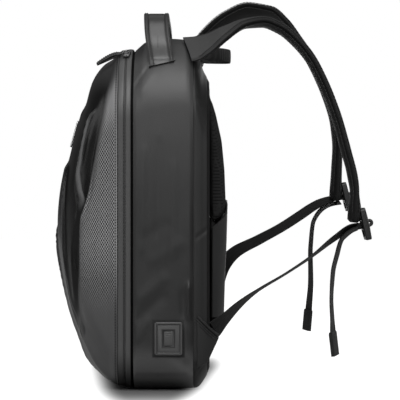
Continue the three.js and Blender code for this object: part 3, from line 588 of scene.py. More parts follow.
def shellRelief(point):
    x, y, z = abs(point.x), point.y, point.z
    relief = 0
    for plate in shell["plates"]:
        inside = smoothAt(plate["half"], z) - x
        below = plate["top"] - plate["fall"] * (x / 140) ** 1.4 - z
        edge = plate["edge"] + 5 * (1 - ease(z, 80, 170))
        on = ease(inside, -edge, edge) * ease(below, -plate["soft"], plate["soft"])
        relief += plate["rise"] * (on - 0.5) * ease(z, 10, 45)
        relief += plate["crest"] * bell(inside, edge * 0.9, edge * 0.8) * on
    hollow = shell["hollow"]
    if 215 < z < 415:
        width = smoothAt(hollow["width"], z)
        shallow = ease(z, 222, 262) * (1 - ease(z, 318, 400))
        relief -= hollow["depth"] * shallow * bell(y, smoothAt(hollow["line"], z), width)
    border = smoothAt(shell["panel"], z)
    raised = ease(y - border, -4, 5) * ease(z, 60, 90) * (1 - ease(z, 395, 430))
    relief += 1.3 * raised
    relief -= 2.2 * bell(y - border, -6, 3) * ease(z, 70, 100) * (1 - ease(z, 215, 240))
    settle = ease(body["shellRear"] - y, 1, 14)
    return relief * settle


def shellPoint(u, v):
    depth = 1 - (1 - v) ** 1.3
    here = shellBase(u, depth)
    side = shellBase(min(u + 0.002, 1), depth) - shellBase(max(u - 0.002, 0), depth)
    forward = shellBase(u, min(depth + 0.004, 1)) - shellBase(u, max(depth - 0.004, 0))
    normal = side.cross(forward)
    if normal.length > 0:
        normal.normalize()
        outward = Vector((here.x, -30, here.z - 205))
        if normal.dot(outward) < 0:
            normal.negate()
        normal = normal.lerp(Vector((0, -1, 0)), ease(depth, 0.93, 0.985)).normalized()
        here = here + normal * shellRelief(here)
    return here


def makeShell():
    piece = wrapGrid("moulded_shell", shell["around"], shell["rows"], shellPoint, (1, 1), (0, -50, 210))
    pickOnly(piece)
    bpy.ops.object.mode_set(mode="EDIT")
    bpy.ops.mesh.select_mode(type="VERT")
    bpy.ops.mesh.select_all(action="DESELECT")
    bpy.ops.object.mode_set(mode="OBJECT")
    for vertex in piece.data.vertices:
        x, y, z = vertex.co / mm
        # the nose, where the rows run together
        vertex.select = abs(x) < 1.7 and y < -140 and 196.6 < z < 212.4
    bpy.ops.object.mode_set(mode="EDIT")
    bpy.ops.mesh.merge(type="CENTER")
    bpy.ops.object.mode_set(mode="OBJECT")
    thicken(piece, shell["wall"])
    smoothShade(piece, 60)
    return piece


def shellFinish():
    paint = Paint("shellFinish")
    x, y, z = paint.place("X"), paint.place("Y"), paint.place("Z")
    low, high = 0.0, 0.47
    front, back = -0.15, -0.05
    points = [((h * mm - low) / (high - low), (b * mm - front) / (back - front)) for h, b in shell["panel"]]
    border = paint.add("ShaderNodeFloatCurve", {"points": points}, {"Factor": 1.0, "Value": z / high})
    border = border * (back - front) + front
    fromBorder = y - border
    panel = (fromBorder / (0.0014 + z.rise(0.26, 0.42) * 0.0045)).rise(-1, 1)
    across = (y * 0.9 + x.size() * 0.45) * (fullTurn / 0.0036)
    lattice = across.cosine() * (z * (fullTurn / 0.0054)).cosine()
    textured = z.rise(0.085, 0.15) * (1 - z.rise(0.33, 0.385)) * panel * (1 - y.rise(-0.0645, -0.062))
    dots = lattice.rise(-0.3, 0.35) * textured
    clouds = paint.clouds(14, 3)
    # painted light: the panel's tone is raised lower down, where the key light falls off
    panelShade = 0.252 - z.rise(0.12, 0.4) * 0.08 + clouds * 0.03
    blackShade = 0.0015 + clouds * 0.0015
    # painted light from above: the black is lighter on the top cap, and the panel darker there
    cap = z.rise(0.385, 0.425)
    upper = 0.018 + clouds * 0.004
    plain = blackShade * (1 - cap) + upper * cap * 1.2
    # painted shade: the panel darkens towards the foot
    lower = 1 - z.rise(0.09, 0.2)
    panelTone = panelShade * (1 - lower * 0.77) * (1 - cap * 0.55)
    # painted highlights: thin light lines along each plate's crest, where the ridge catches the light
    crestHighlights = 0
    for plate, crestHighlight in zip(shell["plates"], shell["highlights"]):
        wide = body["half"] * mm
        points = [(h * mm / high, w * mm / wide) for h, w in plate["half"]]
        half = wide * paint.add("ShaderNodeFloatCurve", {"points": points}, {"Factor": 1.0, "Value": z / high})
        low, top = plate["half"][0][0] * mm, plate["top"] * mm
        low = max(low, 0.232 if plate is shell["plates"][0] else low)
        span = z.rise(low, low + 0.03) * (1 - z.rise(top - 0.035, top - 0.006))
        line = (half - x.size()).bell(0.0014, 0.0012) * span * crestHighlight
        crestHighlights = line + crestHighlights
    plain = plain + crestHighlights
    tone = plain * (1 - panel) + panelTone * panel
    tone = tone * (1 - dots * 0.93)
    seam = 1 - (y + 0.062).size().rise(0.0006, 0.0015)
    stitches = (z * (fullTurn / 0.0036)).sine().rise(-0.2, 0.4)
    tone = tone * (1 - seam * (0.35 + 0.5 * stitches))
    colour = paint.add("ShaderNodeCombineXYZ", values={0: tone, 1: tone, 2: tone * 1.01})
    roughness = 0.3 + panel * 0.14 + cap * 0.1 * (1 - panel)
    height = 1 - dots - seam * 0.8 + paint.clouds(1100, 2) * 0.08
    return paint.finish(colour, roughness, height, 0.0004, specular=0.3)


dress(makeShell(), shellFinish(), "shell", "front_shell")
print("shell moulded")


# bands and zips between the shell and the main side

bands = {
    "rim": {"node": "shell_rim", "front": -59.7, "rear": -51.5, "crown": 0.6, "wall": 4},
    "band": {"node": "zip_band", "front": -48.9, "rear": -42.0, "crown": 0.6, "wall": 4},
}
zips = {
    "main_zip": {"front": -51.2, "rear": -49.2, "sink": 0.5, "wall": 1.8, "shade": 0.03},
    # the expansion zip is near black, painted shade in its deep gap; its specular drops with its shade
    "expansion_zip": {"front": -42.3, "rear": -38.2, "sink": 3, "wall": 1.8, "shade": 0.002},
}


def bandPiece(name, front, rear, crown, sink, wall, rows):
    def pointAt(u, v):
        y = front + v * (rear - front)
        x, z, nx, nz = sidePoint(u, y)
        inset = sink + crown * (2 * v - 1) ** 4
        return x - inset * nx, y, z - inset * nz
    piece = wrapGrid(name, 400, rows, pointAt, (1.42, (rear - front) * mm), (0, (front + rear) / 2, 230))
    thicken(piece, wall)
    smoothShade(piece, 60)
    return piece


def zipFinish(name, shade):
    paint = Paint(name)
    v = paint.cloth("X")
    teeth = (v * (fullTurn / 0.0022)).sine().rise(-0.3, 0.3)
    colour = paint.blend(teeth, grey(shade * 0.4), grey(shade))
    return paint.finish(colour, 0.5, teeth, 0.0005, specular=min(0.4, shade * 20))


for name, band in bands.items():
    piece = bandPiece(name + "_band", band["front"], band["rear"], band["crown"], 0, band["wall"], 14)
    dress(piece, bandCloth, "coated", band["node"])
for name, zipRow in zips.items():
    piece = bandPiece(name + "_tape", zipRow["front"], zipRow["rear"], 0, zipRow["sink"], zipRow["wall"], 4)
    dress(piece, zipFinish(name + "_teeth", zipRow["shade"]), "zip", name)
print("bands and zips made")


# main side with its folds

side = {
    "wall": 2.6, "around": 420, "rows": 44,
    # each fold: from and to as (y, z), its height and its half width
    "folds": [
        {"from": (-19.5, 426), "to": (-38.5, 396), "rise": -1.2, "width": 2.6},
        {"from": (-12, 418), "to": (-31, 386), "rise": 0.8, "width": 5},
        {"from": (33.5, 142), "to": (33.5, 94), "rise": 3.4, "width": 3},
        {"from": (26, 132), "to": (27, 96), "rise": -1.3, "width": 5},
        {"from": (-34, 118), "to": (6, 152), "rise": 1.1, "width": 8},
        {"from": (-36, 92), "to": (4, 128), "rise": -1.0, "width": 7},
        {"from": (-20, 168), "to": (28, 196), "rise": 0.9, "width": 9},
        {"from": (-30, 196), "to": (10, 222), "rise": -0.7, "width": 9},
        {"from": (-37, 64), "to": (-18, 96), "rise": 0.8, "width": 6},
        {"from": (10, 50), "to": (34, 30), "rise": -0.9, "width": 6},
        {"from": (28, 88), "to": (33, 40), "rise": 1.3, "width": 4},
        {"from": (33, 60), "to": (36, 20), "rise": -1.1, "width": 3},
        {"from": (-25, 320), "to": (-28, 180), "rise": 0.6, "width": 5},
        {"from": (-5, 330), "to": (-8, 200), "rise": -0.5, "width": 5},
        {"from": (14, 300), "to": (12, 170), "rise": 0.5, "width": 6},
        {"from": (-10, 20), "to": (20, 14), "rise": 0.8, "width": 5},
    ],
}


def foldHeight(folds, y, z, keep=1.0):
    total = 0
    for fold in folds:
        (y0, z0), (y1, z1) = fold["from"], fold["to"]
        dy, dz = y1 - y0, z1 - z0
        length = math.hypot(dy, dz)
        along = ((y - y0) * dy + (z - z0) * dz) / length
        away = abs((y - y0) * dz - (z - z0) * dy) / length
        inside = ease(along, -6, 8) * (1 - ease(along, length - 8, length + 6))
        total += 1.15 * fold["rise"] * inside * math.exp(-(away / fold["width"]) ** 2)
    return total * keep


def mainPoint(u, v):
    y = body["mainFront"] + v * (body["mainRear"] - body["mainFront"])
    x, z, nx, nz = sidePoint(u, y)
    edge = ease(y, -39, -35.5) * (1 - ease(y, 35, 39))
    level = abs(nx) ** 0.5
    lump = noise.noise(Vector((x * 0.012, y * 0.02, z * 0.012))) * 1.1
    lump += noise.noise(Vector((x * 0.03 + 7, y * 0.05, z * 0.022))) * 0.45
    out = (foldHeight(side["folds"], y, z, level) + lump * ease(z, 20, 60) + 0.5) * edge
    out -= 1.1 * (1 - edge)
    if nz < -0.5:
        out = min(out, 0) * 0.2
    return x + out * nx, y, z + out * nz


mainSide = wrapGrid("main_side", side["around"], side["rows"], mainPoint, (1.42, 0.078), (0, 0, 230))
thicken(mainSide, side["wall"])
smoothShade(mainSide, 60)
dress(mainSide, sideCloth, "coated", "main_body")

rear = {
    "folds": [
        {"from": (41, 199), "to": (60, 214), "rise": -1.1, "width": 1.8},
        {"from": (41, 203), "to": (60, 219), "rise": 0.2, "width": 3.5},
        {"from": (40, 380), "to": (50, 384), "rise": -0.8, "width": 2},
        {"from": (43, 31), "to": (57, 51), "rise": -1.9, "width": 1.6},
        {"from": (43, 36), "to": (57, 58), "rise": 1.2, "width": 2.6},
        {"from": (43, 22), "to": (60, 40), "rise": -1.9, "width": 1.6},
        {"from": (43, 26.5), "to": (58, 45), "rise": 1.2, "width": 2.4},
        {"from": (43, 14), "to": (60, 28), "rise": 1.2, "width": 3},
    ],
}


def rearPoint(u, v):
    y = body["rearFront"] + v * (body["rearBack"] - body["rearFront"])
    x, z, nx, nz = sidePoint(u, y)
    edge = ease(v, 0, 0.16)
    lump = noise.noise(Vector((x * 0.02, y * 0.03, z * 0.02))) * 0.6
    out = (foldHeight(rear["folds"], y, z, abs(nx) ** 0.5) + lump * ease(z, 20, 60)) * edge - 0.9 * (1 - edge)
    if nz < -0.5:
        out = min(out, 0) * 0.2
    return x + out * nx, y, z + out * nz


rearBand = wrapGrid("rear_side_band", 400, 16, rearPoint, (1.42, 0.018), (0, 48, 230))
thicken(rearBand, 2.6)
smoothShade(rearBand, 60)
dress(rearBand, rearCloth, "coated", "rear_band")
print("sides folded")


# back panel, pads and the trolley sleeve

panelPiece = copyNode("back_panel", "back_lining", bevel=0.8)
dress(panelPiece, padMesh, "mesh", "back_panel")

padding = {"voxel": 0.0045, "start": 1.6, "pressure": 4, "frames": 20, "cap": 2.6, "seat": 60.9,
           "upperDown": 2.05, "upperUp": 1.12, "tuck": 4, "lowerUp": 2.3}


def puffPad(node, name):
    # blown up a little by Cloth, then kept within its cap and on the panel
    pad = copyNode(node, name)
    for vertex in pad.data.vertices:
        y, z = vertex.co.y / mm, vertex.co.z / mm
        if "upper" in node and z < 275:
            vertex.co.z = (275 - (275 - z) * padding["upperDown"]) * mm
        if "upper" in node and z > 320:
            # its top end runs out thin below the strap roots
            z = min(z, 340) + max(0, z - 340) * padding["upperUp"]
            vertex.co.z = z * mm
            out = (y - padding["seat"]) * (1 - 0.72 * ease(z, 320, 414))
            vertex.co.y = (padding["seat"] + out - padding["tuck"] * ease(z, 360, 400)) * mm
        if "lower" in node and z > 188:
            thin = ease(z, 188, 200)
            vertex.co.z = (188 + (z - 188) * padding["lowerUp"]) * mm
            vertex.co.y = (padding["seat"] + (y - padding["seat"]) * (1 - 0.55 * thin)) * mm
    pickOnly(pad)
    even = pad.modifiers.new("even", "REMESH")
    even.mode = "VOXEL"
    even.voxel_size = padding["voxel"]
    bpy.ops.object.modifier_apply(modifier="even")
    for vertex in pad.data.vertices:
        vertex.co -= vertex.normal * padding["start"] * mm
    start = [vertex.co.copy() for vertex in pad.data.vertices]
    puff = pad.modifiers.new("puff", "CLOTH")
    puff.settings.use_pressure = True
    puff.settings.uniform_pressure_force = padding["pressure"]
    puff.settings.effector_weights.gravity = 0
    puff.point_cache.frame_end = padding["frames"]
    for number in range(1, padding["frames"] + 1):
        bpy.context.scene.frame_set(number)
    blown = pad.evaluated_get(bpy.context.evaluated_depsgraph_get()).to_mesh()
    moved = [vertex.co.copy() for vertex in blown.vertices]
    pad.evaluated_get(bpy.context.evaluated_depsgraph_get()).to_mesh_clear()
    pad.modifiers.remove(puff)
    bpy.context.scene.frame_set(1)
    for vertex, before, after in zip(pad.data.vertices, start, moved):
        step = after - before
        far = padding["cap"] * mm
        vertex.co = before + (step * (far / step.length) if step.length > far else step)
    for vertex in pad.data.vertices:
        vertex.co.y = max(vertex.co.y, padding["seat"] * mm)
    finer = pad.modifiers.new("finer", "SUBSURF")
    finer.levels = finer.render_levels = 1
    bpy.ops.object.modifier_apply(modifier="finer")
    smoothShade(pad, 80)
    return pad


for sideName in ("right", "left"):
    for level in ("upper", "lower"):
        node = f"back_pad_{level}_{sideName}"
        pad = puffPad(node, f"soft_pad_{level}_{sideName}")
        dress(pad, padMesh, "mesh", node)

sleeve = {
    "out": [(0, 1), (0.35, 1), (0.65, 0.995), (0.75, 0.96), (0.805, 0.84), (0.855, 0.6), (0.9, 0.32),
            (0.935, 0.08)],
    "high": [(0, 0.533), (0.35, 0.53), (0.65, 0.518), (0.75, 0.502), (0.805, 0.488), (0.855, 0.476),
             (0.9, 0.465), (0.935, 0.456)],
    "low": [(0, 0.2), (0.65, 0.202), (0.935, 0.206)],
    "lean": 5,
}


def sleevePoint(u, v):
    share = (2 * u - 1) * 0.935
    reach = abs(share)
    x = share * body["half"]
    out = smoothAt(sleeve["out"], reach)
    low = smoothAt(sleeve["low"], reach) * body["height"]
    high = smoothAt(sleeve["high"], reach) * body["height"]
    z = low + v * (high - low)
    y = body["panelOuter"] + 0.3 + out * 21.8 - (1 - v) * out * sleeve["lean"] + 2.4
    wave = noise.noise(Vector((x * 0.03, z * 0.012, 3))) * 0.9 * ease(0.9 - reach, 0, 0.1)
    return x, y + wave * (0.5 + 0.5 * math.sin(v * math.pi)), z


sleevePiece = wrapGrid("trolley_sleeve", 90, 40, sleevePoint, (0.33, 0.156), (0, 0, 170))
thicken(sleevePiece, 1.8)
smoothShade(sleevePiece, 60)
dress(sleevePiece, rearCloth, "coated", "luggage_sleeve")
print("back dressed")


# sweeps for straps, webbing, handle and loop

def makeCourse(stations):
    # stations: (place, across, wide, thick); the course gives a point by its share of length, across and out
    lengths = [0]
    for before, after in zip(stations, stations[1:]):
        lengths.append(lengths[-1] + (after[0] - before[0]).length)
    total = lengths[-1]
    shares = [length / total for length in lengths]
    places = [[(share, station[0][axis]) for share, station in zip(shares, stations)] for axis in range(3)]
    acrosses = [[(share, station[1][axis]) for share, station in zip(shares, stations)] for axis in range(3)]
    wide = [(share, station[2]) for share, station in zip(shares, stations)]
    thick = [(share, station[3]) for share, station in zip(shares, stations)]

    def placeAt(v):
        return Vector([smoothAt(column, v) for column in places])

    def courseAt(v, a, o):
        tangent = (placeAt(min(v + 0.01, 1)) - placeAt(max(v - 0.01, 0))).normalized()
        across = Vector([smoothAt(column, v) for column in acrosses]).normalized()
        out = tangent.cross(across).normalized()
        return placeAt(v) + across * (a * smoothAt(wide, v) / 2) + out * (o * smoothAt(thick, v) / 2)
    return courseAt, total


def sweepPiece(name, stations, section, around, along, mapWidth=0.1):
    courseAt, total = makeCourse(stations)

    def pointAt(u, v):
        a, o = section(u, v)
        return courseAt(v, a, o)

    piece = wrapGrid(name, around, along, pointAt, (mapWidth, total * mm))
    capEnds(piece)
    smoothShade(piece, 50)
    return piece


def makeStitch():
    # one short thread, copied along every seam
    deselect()
    bpy.ops.mesh.primitive_cube_add(size=1)
    piece = bpy.context.object
    bpy.ops.object.mode_set(mode="EDIT")
    bpy.ops.mesh.subdivide(number_cuts=1, smoothness=1)
    bpy.ops.object.mode_set(mode="OBJECT")
    points = [vertex.co.copy() for vertex in piece.data.vertices]
    faces = [list(face.vertices) for face in piece.data.polygons]
    bpy.data.objects.remove(piece)
    return points, faces


stitchPoints, stitchFaces = makeStitch()


def sewSeams(name, lines, material, slotName, pitch=3.6, long=2.5, wide=0.7, high=0.6):
    # lines: each a list of (place, outward); stitches lie along them a pitch apart
    points, faces = [], []
    for line in lines:
        walked = 0.0
        wanted = pitch / 2
        for (here, out), (there, _) in zip(line, line[1:]):
            step = (there - here).length
            while step > 0 and wanted <= walked + step:
                middle = here.lerp(there, (wanted - walked) / step)
                along = (there - here).normalized()
                up = (out - along * out.dot(along)).normalized()
                beside = along.cross(up)
                start = len(points)
                for p in stitchPoints:
                    off = along * (p.x * long) + beside * (p.y * wide) + up * (p.z * high)
                    points.append((middle + off) * mm)
                faces.extend([[start + i for i in face] for face in stitchFaces])
                wanted += pitch
            walked += step
    mesh = bpy.data.meshes.new(name)
    mesh.from_pydata(points, [], faces)
    piece = bpy.data.objects.new(name, mesh)
    bpy.context.collection.objects.link(piece)
    pickOnly(piece)
    bpy.ops.object.mode_set(mode="EDIT")
    bpy.ops.mesh.select_all(action="SELECT")
    bpy.ops.mesh.normals_make_consistent(inside=False)
    bpy.ops.object.mode_set(mode="OBJECT")
    smoothShade(piece, 60)
    dress(piece, material, slotName)


def seamLines(courseAt, edges, count, start, lift):
    # lines along a course near its edges, on both of its faces, for sewSeams
    lines = []
    for edge in edges:
        for face in (-1, 1):
            line = []
            for i in range(count + 1):
                v = start + (1 - 2 * start) * i / count
                here = courseAt(v, edge, face * lift)
                line.append((here, here - courseAt(v, edge, 0)))
            lines.append(line)
    return lines


def flatSection(power):
    # a flat cut with round edges; the higher the power, the squarer
    def section(u, v):
        angle = fullTurn * u
        c, s = math.cos(angle), math.sin(angle)
        return math.copysign(abs(c) ** (2 / power), c), math.copysign(abs(s) ** (2 / power), s)
    return section


def paddedSection(u, v):
    # foam between two cloths, with a bound lip along each edge
    angle = fullTurn * u
    c, s = math.cos(angle), math.sin(angle)
    a = math.copysign(abs(c) ** 0.55, c)
    reach = abs(a)
    plump = 1 - 0.24 * ease(reach, 0.2, 0.8) - 0.36 * ease(reach, 0.8, 0.93)
    lip = 0.12 * bell(reach, 0.965, 0.03)
    o = math.copysign(abs(s) ** 0.6, s)
    ripple = 0.03 * math.sin(v * 60) * (1 - reach)
    return a, o * (plump + lip) * (1 + ripple)


straps = {
    "width": 64, "thick": 15, "reach": 220, "drop": 230, "inward": 20,
    "root": (110.8, 31.2, 450.1), "slant": 0.2, "mapWidth": 0.15,
    "right": [
        (0, 0, 0, 36, 1, 0.35), (0.12, 0.06, 0.008, 34, 1, 0.6), (0.3, 0.12, 0.029, 30, 1, 0.9),
        (0.6, 0.232, 0.099, 18, 1, 1), (0.9, 0.352, 0.157, 6, 1, 0.95), (1, 0.455, 0.167, 1, 1, 0.92),
        (1, 0.566, 0.129, 0, 1, 0.88), (0.97, 0.65, 0.064, 0, 1, 0.86), (0.93, 0.743, -0.04, 0, 1, 0.86),
        (0.85, 0.816, -0.171, 0, 0.98, 0.86), (0.75, 0.871, -0.297, 0, 0.95, 0.86),
        (0.6, 0.92, -0.438, 0, 0.91, 0.86), (0.45, 0.959, -0.58, 0, 0.88, 0.85),
        (0.32, 0.996, -0.719, 0, 0.84, 0.84), (0.24, 1.01, -0.823, 0, 0.79, 0.78),
        (0.2, 1.01, -0.927, 0, 0.73, 1.1), (0.2, 1.006, -0.982, 0, 0.68, 1.12),
        (0.2, 1.004, -1, 0, 0.6, 0.6),
    ],
    "left": [
        (0, 0, 0, 36, 1, 0.35), (0.1, 0.041, 0.02, 37, 1, 0.6), (0.2, 0.073, 0.084, 37, 1, 0.9),
        (0.4, 0.13, 0.158, 33, 1, 1.05), (0.66, 0.25, 0.26, 25, 1, 1), (0.9, 0.405, 0.327, 16, 1, 0.9),
        (1, 0.543, 0.32, 7, 1, 0.88), (1, 0.643, 0.253, 2, 1, 0.86), (0.97, 0.729, 0.147, 0, 1, 0.86),
        (0.92, 0.802, 0.045, 0, 0.99, 0.86), (0.84, 0.868, -0.077, 0, 0.98, 0.86),
        (0.7, 0.941, -0.249, 0, 0.95, 0.86), (0.55, 0.984, -0.401, 0, 0.91, 0.9),
        (0.4, 0.997, -0.553, 0, 0.86, 0.92), (0.28, 0.992, -0.706, 0, 0.8, 1.05),
        (0.2, 0.986, -0.86, 0, 0.7, 1.15), (0.2, 0.985, -0.877, 0, 0.62, 0.6),
    ],
}
strapSeams = []
for sideName, sign in (("right", 1), ("left", -1)):
    rootX, rootY, rootZ = straps["root"]
    stations = []
    for inward, back, up, turn, wide, thick in straps[sideName]:
        place = Vector((sign * (rootX - inward * straps["inward"]), rootY + back * straps["reach"],
                        rootZ + up * straps["drop"]))
        lean = math.radians(turn)
        slant = straps["slant"] * (1 - ease(back, 0, 0.12))
        across = Vector((math.cos(lean), sign * slant, -sign * math.sin(lean)))
        stations.append((place, across, wide * straps["width"], thick * straps["thick"]))
    strap = sweepPiece(f"padded_strap_{sideName}", stations, paddedSection, 56, 120,
                       mapWidth=straps["mapWidth"])
    dress(strap, strapFabric, "strap", f"shoulder_strap_{sideName}")
    courseAt, total = makeCourse(stations)
    strapSeams += seamLines(courseAt, (-0.86, 0.86), 120, 0.03, 0.62)
sewSeams("strap_stitches", strapSeams, darkThread, "strap", pitch=5, long=3.4)
print("straps made")

webs = {
    "wide": 25, "thick": 1.8, "foldWide": 26.4, "foldThick": 5.4, "adjusterSwell": 2.0, "tabDrop": 13,
    # x, y, z and turn: 0 shows the face to the side, 90 the edge
    "webbing_right": [
        (145.6, 66.9, 81.7, 26), (145.2, 80.6, 95.4, 52), (143.1, 96.2, 111, 64), (139.9, 111.8, 123.8, 73),
        (136.8, 127.5, 134.3, 79), (129.6, 158.7, 152.1, 81), (120.2, 193.9, 174.6, 79),
        (113.5, 227.1, 200, 70), (108.8, 250.5, 213.9, 66), (106.5, 262.2, 215.7, 68),
    ],
    "webbing_left": [
        (-145.6, 66.9, 81.7, 14), (-144.9, 74.6, 122, 26), (-144.2, 83.3, 150.3, 34),
        (-142.5, 99.9, 170.7, 46), (-134.1, 136.3, 190.7, 56), (-124.9, 169.5, 209.2, 60),
        (-119.3, 197.4, 227.5, 60), (-115.1, 215.2, 239.8, 62), (-111.7, 230, 247.8, 66),
        (-108.7, 246, 252.5, 70), (-106.5, 258.8, 254, 74),
    ],
    "tail_right": [
        (106.5, 257.9, 212.8, 76), (106.5, 250.8, 209.7, 75), (106.5, 243.9, 204.8, 74),
        (106.5, 235.9, 196.4, 73), (106.5, 230.3, 177.8, 72), (106.5, 224.7, 153, 73),
        (106.5, 222.7, 115.8, 75), (106.5, 223.8, 92.6, 74), (106.5, 224.7, 73.2, 70),
        (106.5, 225.3, 60, 70),
    ],
    "tail_left": [
        (-106.5, 255.8, 246, 80), (-106.5, 248.2, 245, 80), (-106.5, 239.2, 242.8, 80),
        (-106.5, 229.3, 237.4, 80), (-106.5, 220.2, 226.9, 82), (-106.5, 214.8, 214.6, 83),
        (-106.5, 212.3, 191.5, 82), (-106.5, 211.2, 172.6, 81), (-106.5, 211.7, 131.7, 79),
        (-106.5, 208.6, 86.8, 74), (-106.5, 207.8, 72, 73),
    ],
    # the folded end of each tail: from, to and turn
    "fold_right": ((106.5, 224.2, 75), (106.5, 227.8, 43.5), 70),
    "fold_left": ((-106.5, 208.2, 88), (-106.5, 205.6, 57.5), 74),
}


def webStations(rows, side, wide, thick, hangs):
    # a hanging strip is turned about its own run, and a drawn one about the line between its ends
    stations = []
    for i, (x, y, z, turn) in enumerate(rows):
        top, foot = (rows[max(i - 1, 0)], rows[min(i + 1, len(rows) - 1)]) if hangs else (rows[-1], rows[0])
        run = Vector(top[:3]) - Vector(foot[:3])
        angle = math.radians(turn)
        flat = Vector((0, -run.z, run.y)).normalized()
        across = flat * math.cos(angle) + Vector((side * math.sin(angle), 0, 0))
        stations.append((Vector((x, y, z)), across, wide, thick))
    return stations


def webSection(u, v):
    # thin in the middle, with a thicker woven edge
    a, o = flatSection(7)(u, v)
    return a, o * (0.7 + 0.3 * ease(abs(a), 0.8, 0.9))


def swell(piece, factor):
    # thickens a tilted flat piece across its own face, more towards its middle
    middle = sum((v.co for v in piece.data.vertices), Vector()) / len(piece.data.vertices)
    widest = max(piece.data.polygons, key=lambda face: face.area).normal.copy()
    reach = max((v.co - middle).length for v in piece.data.vertices)
    for vertex in piece.data.vertices:
        away = vertex.co - middle
        off = away.dot(widest)
        inPlane = (away - widest * off).length / reach
        vertex.co += widest * off * (factor - 1) * (1 - 0.6 * inPlane ** 2)
    piece.data.update()


def addTorus(name, place, radius, thick, turn, segments=28, sides=10):
    # place, radius and thickness in millimetres
    deselect()
    bpy.ops.mesh.primitive_torus_add(location=Vector(place) * mm, rotation=turn, major_radius=radius * mm,
                                     minor_radius=thick * mm, major_segments=segments, minor_segments=sides)
    piece = bpy.context.object
    piece.name = name
    return piece


foldSeams = []
for sideName, sign in (("right", 1), ("left", -1)):
    for name, course, hangs, rows in (("lower_webbing", "webbing", False, 150),
                                      ("loose_tail", "tail", True, 130)):
        stations = webStations(webs[f"{course}_{sideName}"], sign, webs["wide"], webs["thick"], hangs)
        strip = sweepPiece(f"{name}_{sideName}", stations, webSection, 40, rows, mapWidth=0.054)
        dress(strip, webbing, "webbing", f"strap_{course}_{sideName}")
    low, high, turn = webs["fold_" + sideName]
    rows = [(*Vector(low).lerp(Vector(high), share), turn) for share in (0, 0.08, 0.5, 0.92, 1)]
    stations = webStations(rows, sign, webs["foldWide"], webs["foldThick"], True)
    stations[0] = (*stations[0][:3], webs["foldThick"] * 0.7)
    fold = sweepPiece(f"tail_fold_{sideName}", stations, flatSection(7), 40, 40, mapWidth=0.06)
    dress(fold, webbing, "webbing")
    courseAt, total = makeCourse(stations)
    for v in (0.16, 0.3, 0.84):
        for face in (-1, 1):
            foldSeams.append([(courseAt(v, a, face * 1.02), courseAt(v, a, face) - courseAt(v, a, 0))
                              for a in (-0.8, 0, 0.8)])
    for node, finish, slotName, bevel in ((f"anchor_tab_{sideName}", rearCloth, "coated", 0.8),
                                          (f"strap_adjuster_{sideName}", blackPlastic, "plastic", 0.9)):
        piece = copyNode(node, f"made_{node}", bevel=bevel)
        if "adjuster" in node:
            swell(piece, webs["adjusterSwell"])
        if "tab" in node:
            # its lower corner is drawn down onto the foot of the bag
            for vertex in piece.data.vertices:
                x, y, z = vertex.co / mm
                drawn = ease(y, 46, 60) * (1 - ease(y, 64, 73)) * (1 - ease(z, 50, 85))
                vertex.co.z -= webs["tabDrop"] * drawn * mm
        dress(piece, finish, slotName, node)
    low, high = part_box(f"adjuster_ring_{sideName}")
    middle = (Vector(low) + Vector(high)) / 2 / mm
    ringPiece = addTorus(f"pull_ring_{sideName}", middle, 3.0, 2.3, (0, math.pi / 2, 0), 40, 16)
    bpy.ops.object.transform_apply(location=True, rotation=True, scale=True)
    smoothShade(ringPiece)
    dress(ringPiece, blackPlastic, "plastic", f"adjuster_ring_{sideName}")
sewSeams("fold_stitches", foldSeams, darkThread, "webbing", pitch=2.6, long=1.9, wide=0.5, high=0.4)


# y and z along the tabs' upper edge
tabEdge = [(44.8, 98.4), (52, 91.5), (60, 83.8), (71.5, 73.6)]


def tabTrim(sign):
    # the turned hem along the tab's upper edge, with two rows of stitches under it
    sideName = "right" if sign > 0 else "left"
    low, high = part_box(f"anchor_tab_{sideName}")
    outer = max(abs(low[0]), abs(high[0])) / mm

    def onTab(y, z, lift):
        return Vector((sign * (outer - 0.05 * max(0, y - 46) - 0.006 * max(0, y - 46) ** 2 + lift), y, z))

    stations = [(onTab(y, z, -0.6), Vector((0, 0.7, 0.7)), 3.6, 3.4) for y, z in tabEdge]
    hem = sweepPiece(f"tab_hem_{sideName}", stations, flatSection(2.4), 20, 50, mapWidth=0.012)
    dress(hem, rearCloth, "coated")
    lines = []
    for inset in (3.6, 6.2):
        down = inset * 0.7
        lines.append([(onTab(y - down, z - down, 0.1), Vector((sign, 0, 0))) for y, z in tabEdge])
    return lines


sewSeams("tab_stitches", tabTrim(1) + tabTrim(-1), darkThread, "coated", pitch=2.8, long=2, wide=0.6,
         high=0.5)
print("webbing and tabs made")


# carry handle and haul loop

handle = {
    "depth": -10.14, "wide": 33, "thick": 5, "slant": 0.02, "mapWidth": 0.08,
    # half of its course, from the sewn base up: x, z and how far it leans to the back
    "course": [(133.4, 425, 8.9), (131.9, 431, 7.9), (128.7, 436.1, 6.9), (127, 454, 4), (120, 473, 1.5),
               (112, 488.6, 0.5), (98, 497, 0), (60, 500, 0)],
}


def handleSection(u):
    # satin middle between two bound edges
    angle = fullTurn * u
    c, t = math.cos(angle), math.sin(angle)
    a = math.copysign(abs(c) ** 0.34, c)
    bound = ease(abs(a), 0.66, 0.72)
    o = math.copysign(abs(t) ** 0.34, t) * (0.74 + 0.26 * bound - 0.3 * bell(abs(a), 0.65, 0.025))
    return a, o


def makeHandle():
    half = [(Vector((x, handle["depth"] + lean, z)), Vector((0, 1, 0)), handle["wide"], handle["thick"])
            for x, z, lean in handle["course"]]
    far = [(Vector((-p.x, p.y, p.z)), across, wide, thick) for p, across, wide, thick in reversed(half)]
    stations = half + far
    courseAt, total = makeCourse(stations)

    def pointAt(u, v):
        a, o = handleSection(u)
        start = handle["slant"] * (0.5 + 0.5 * a)
        return courseAt(start + (1 - 2 * start) * v, a, o)

    piece = wrapGrid("top_handle", 72, 150, pointAt, (handle["mapWidth"], total * mm))
    capEnds(piece)
    smoothShade(piece, 50)
    return piece, seamLines(courseAt, (-0.9, -0.76, 0.76, 0.9), 160, 0.025, 1)


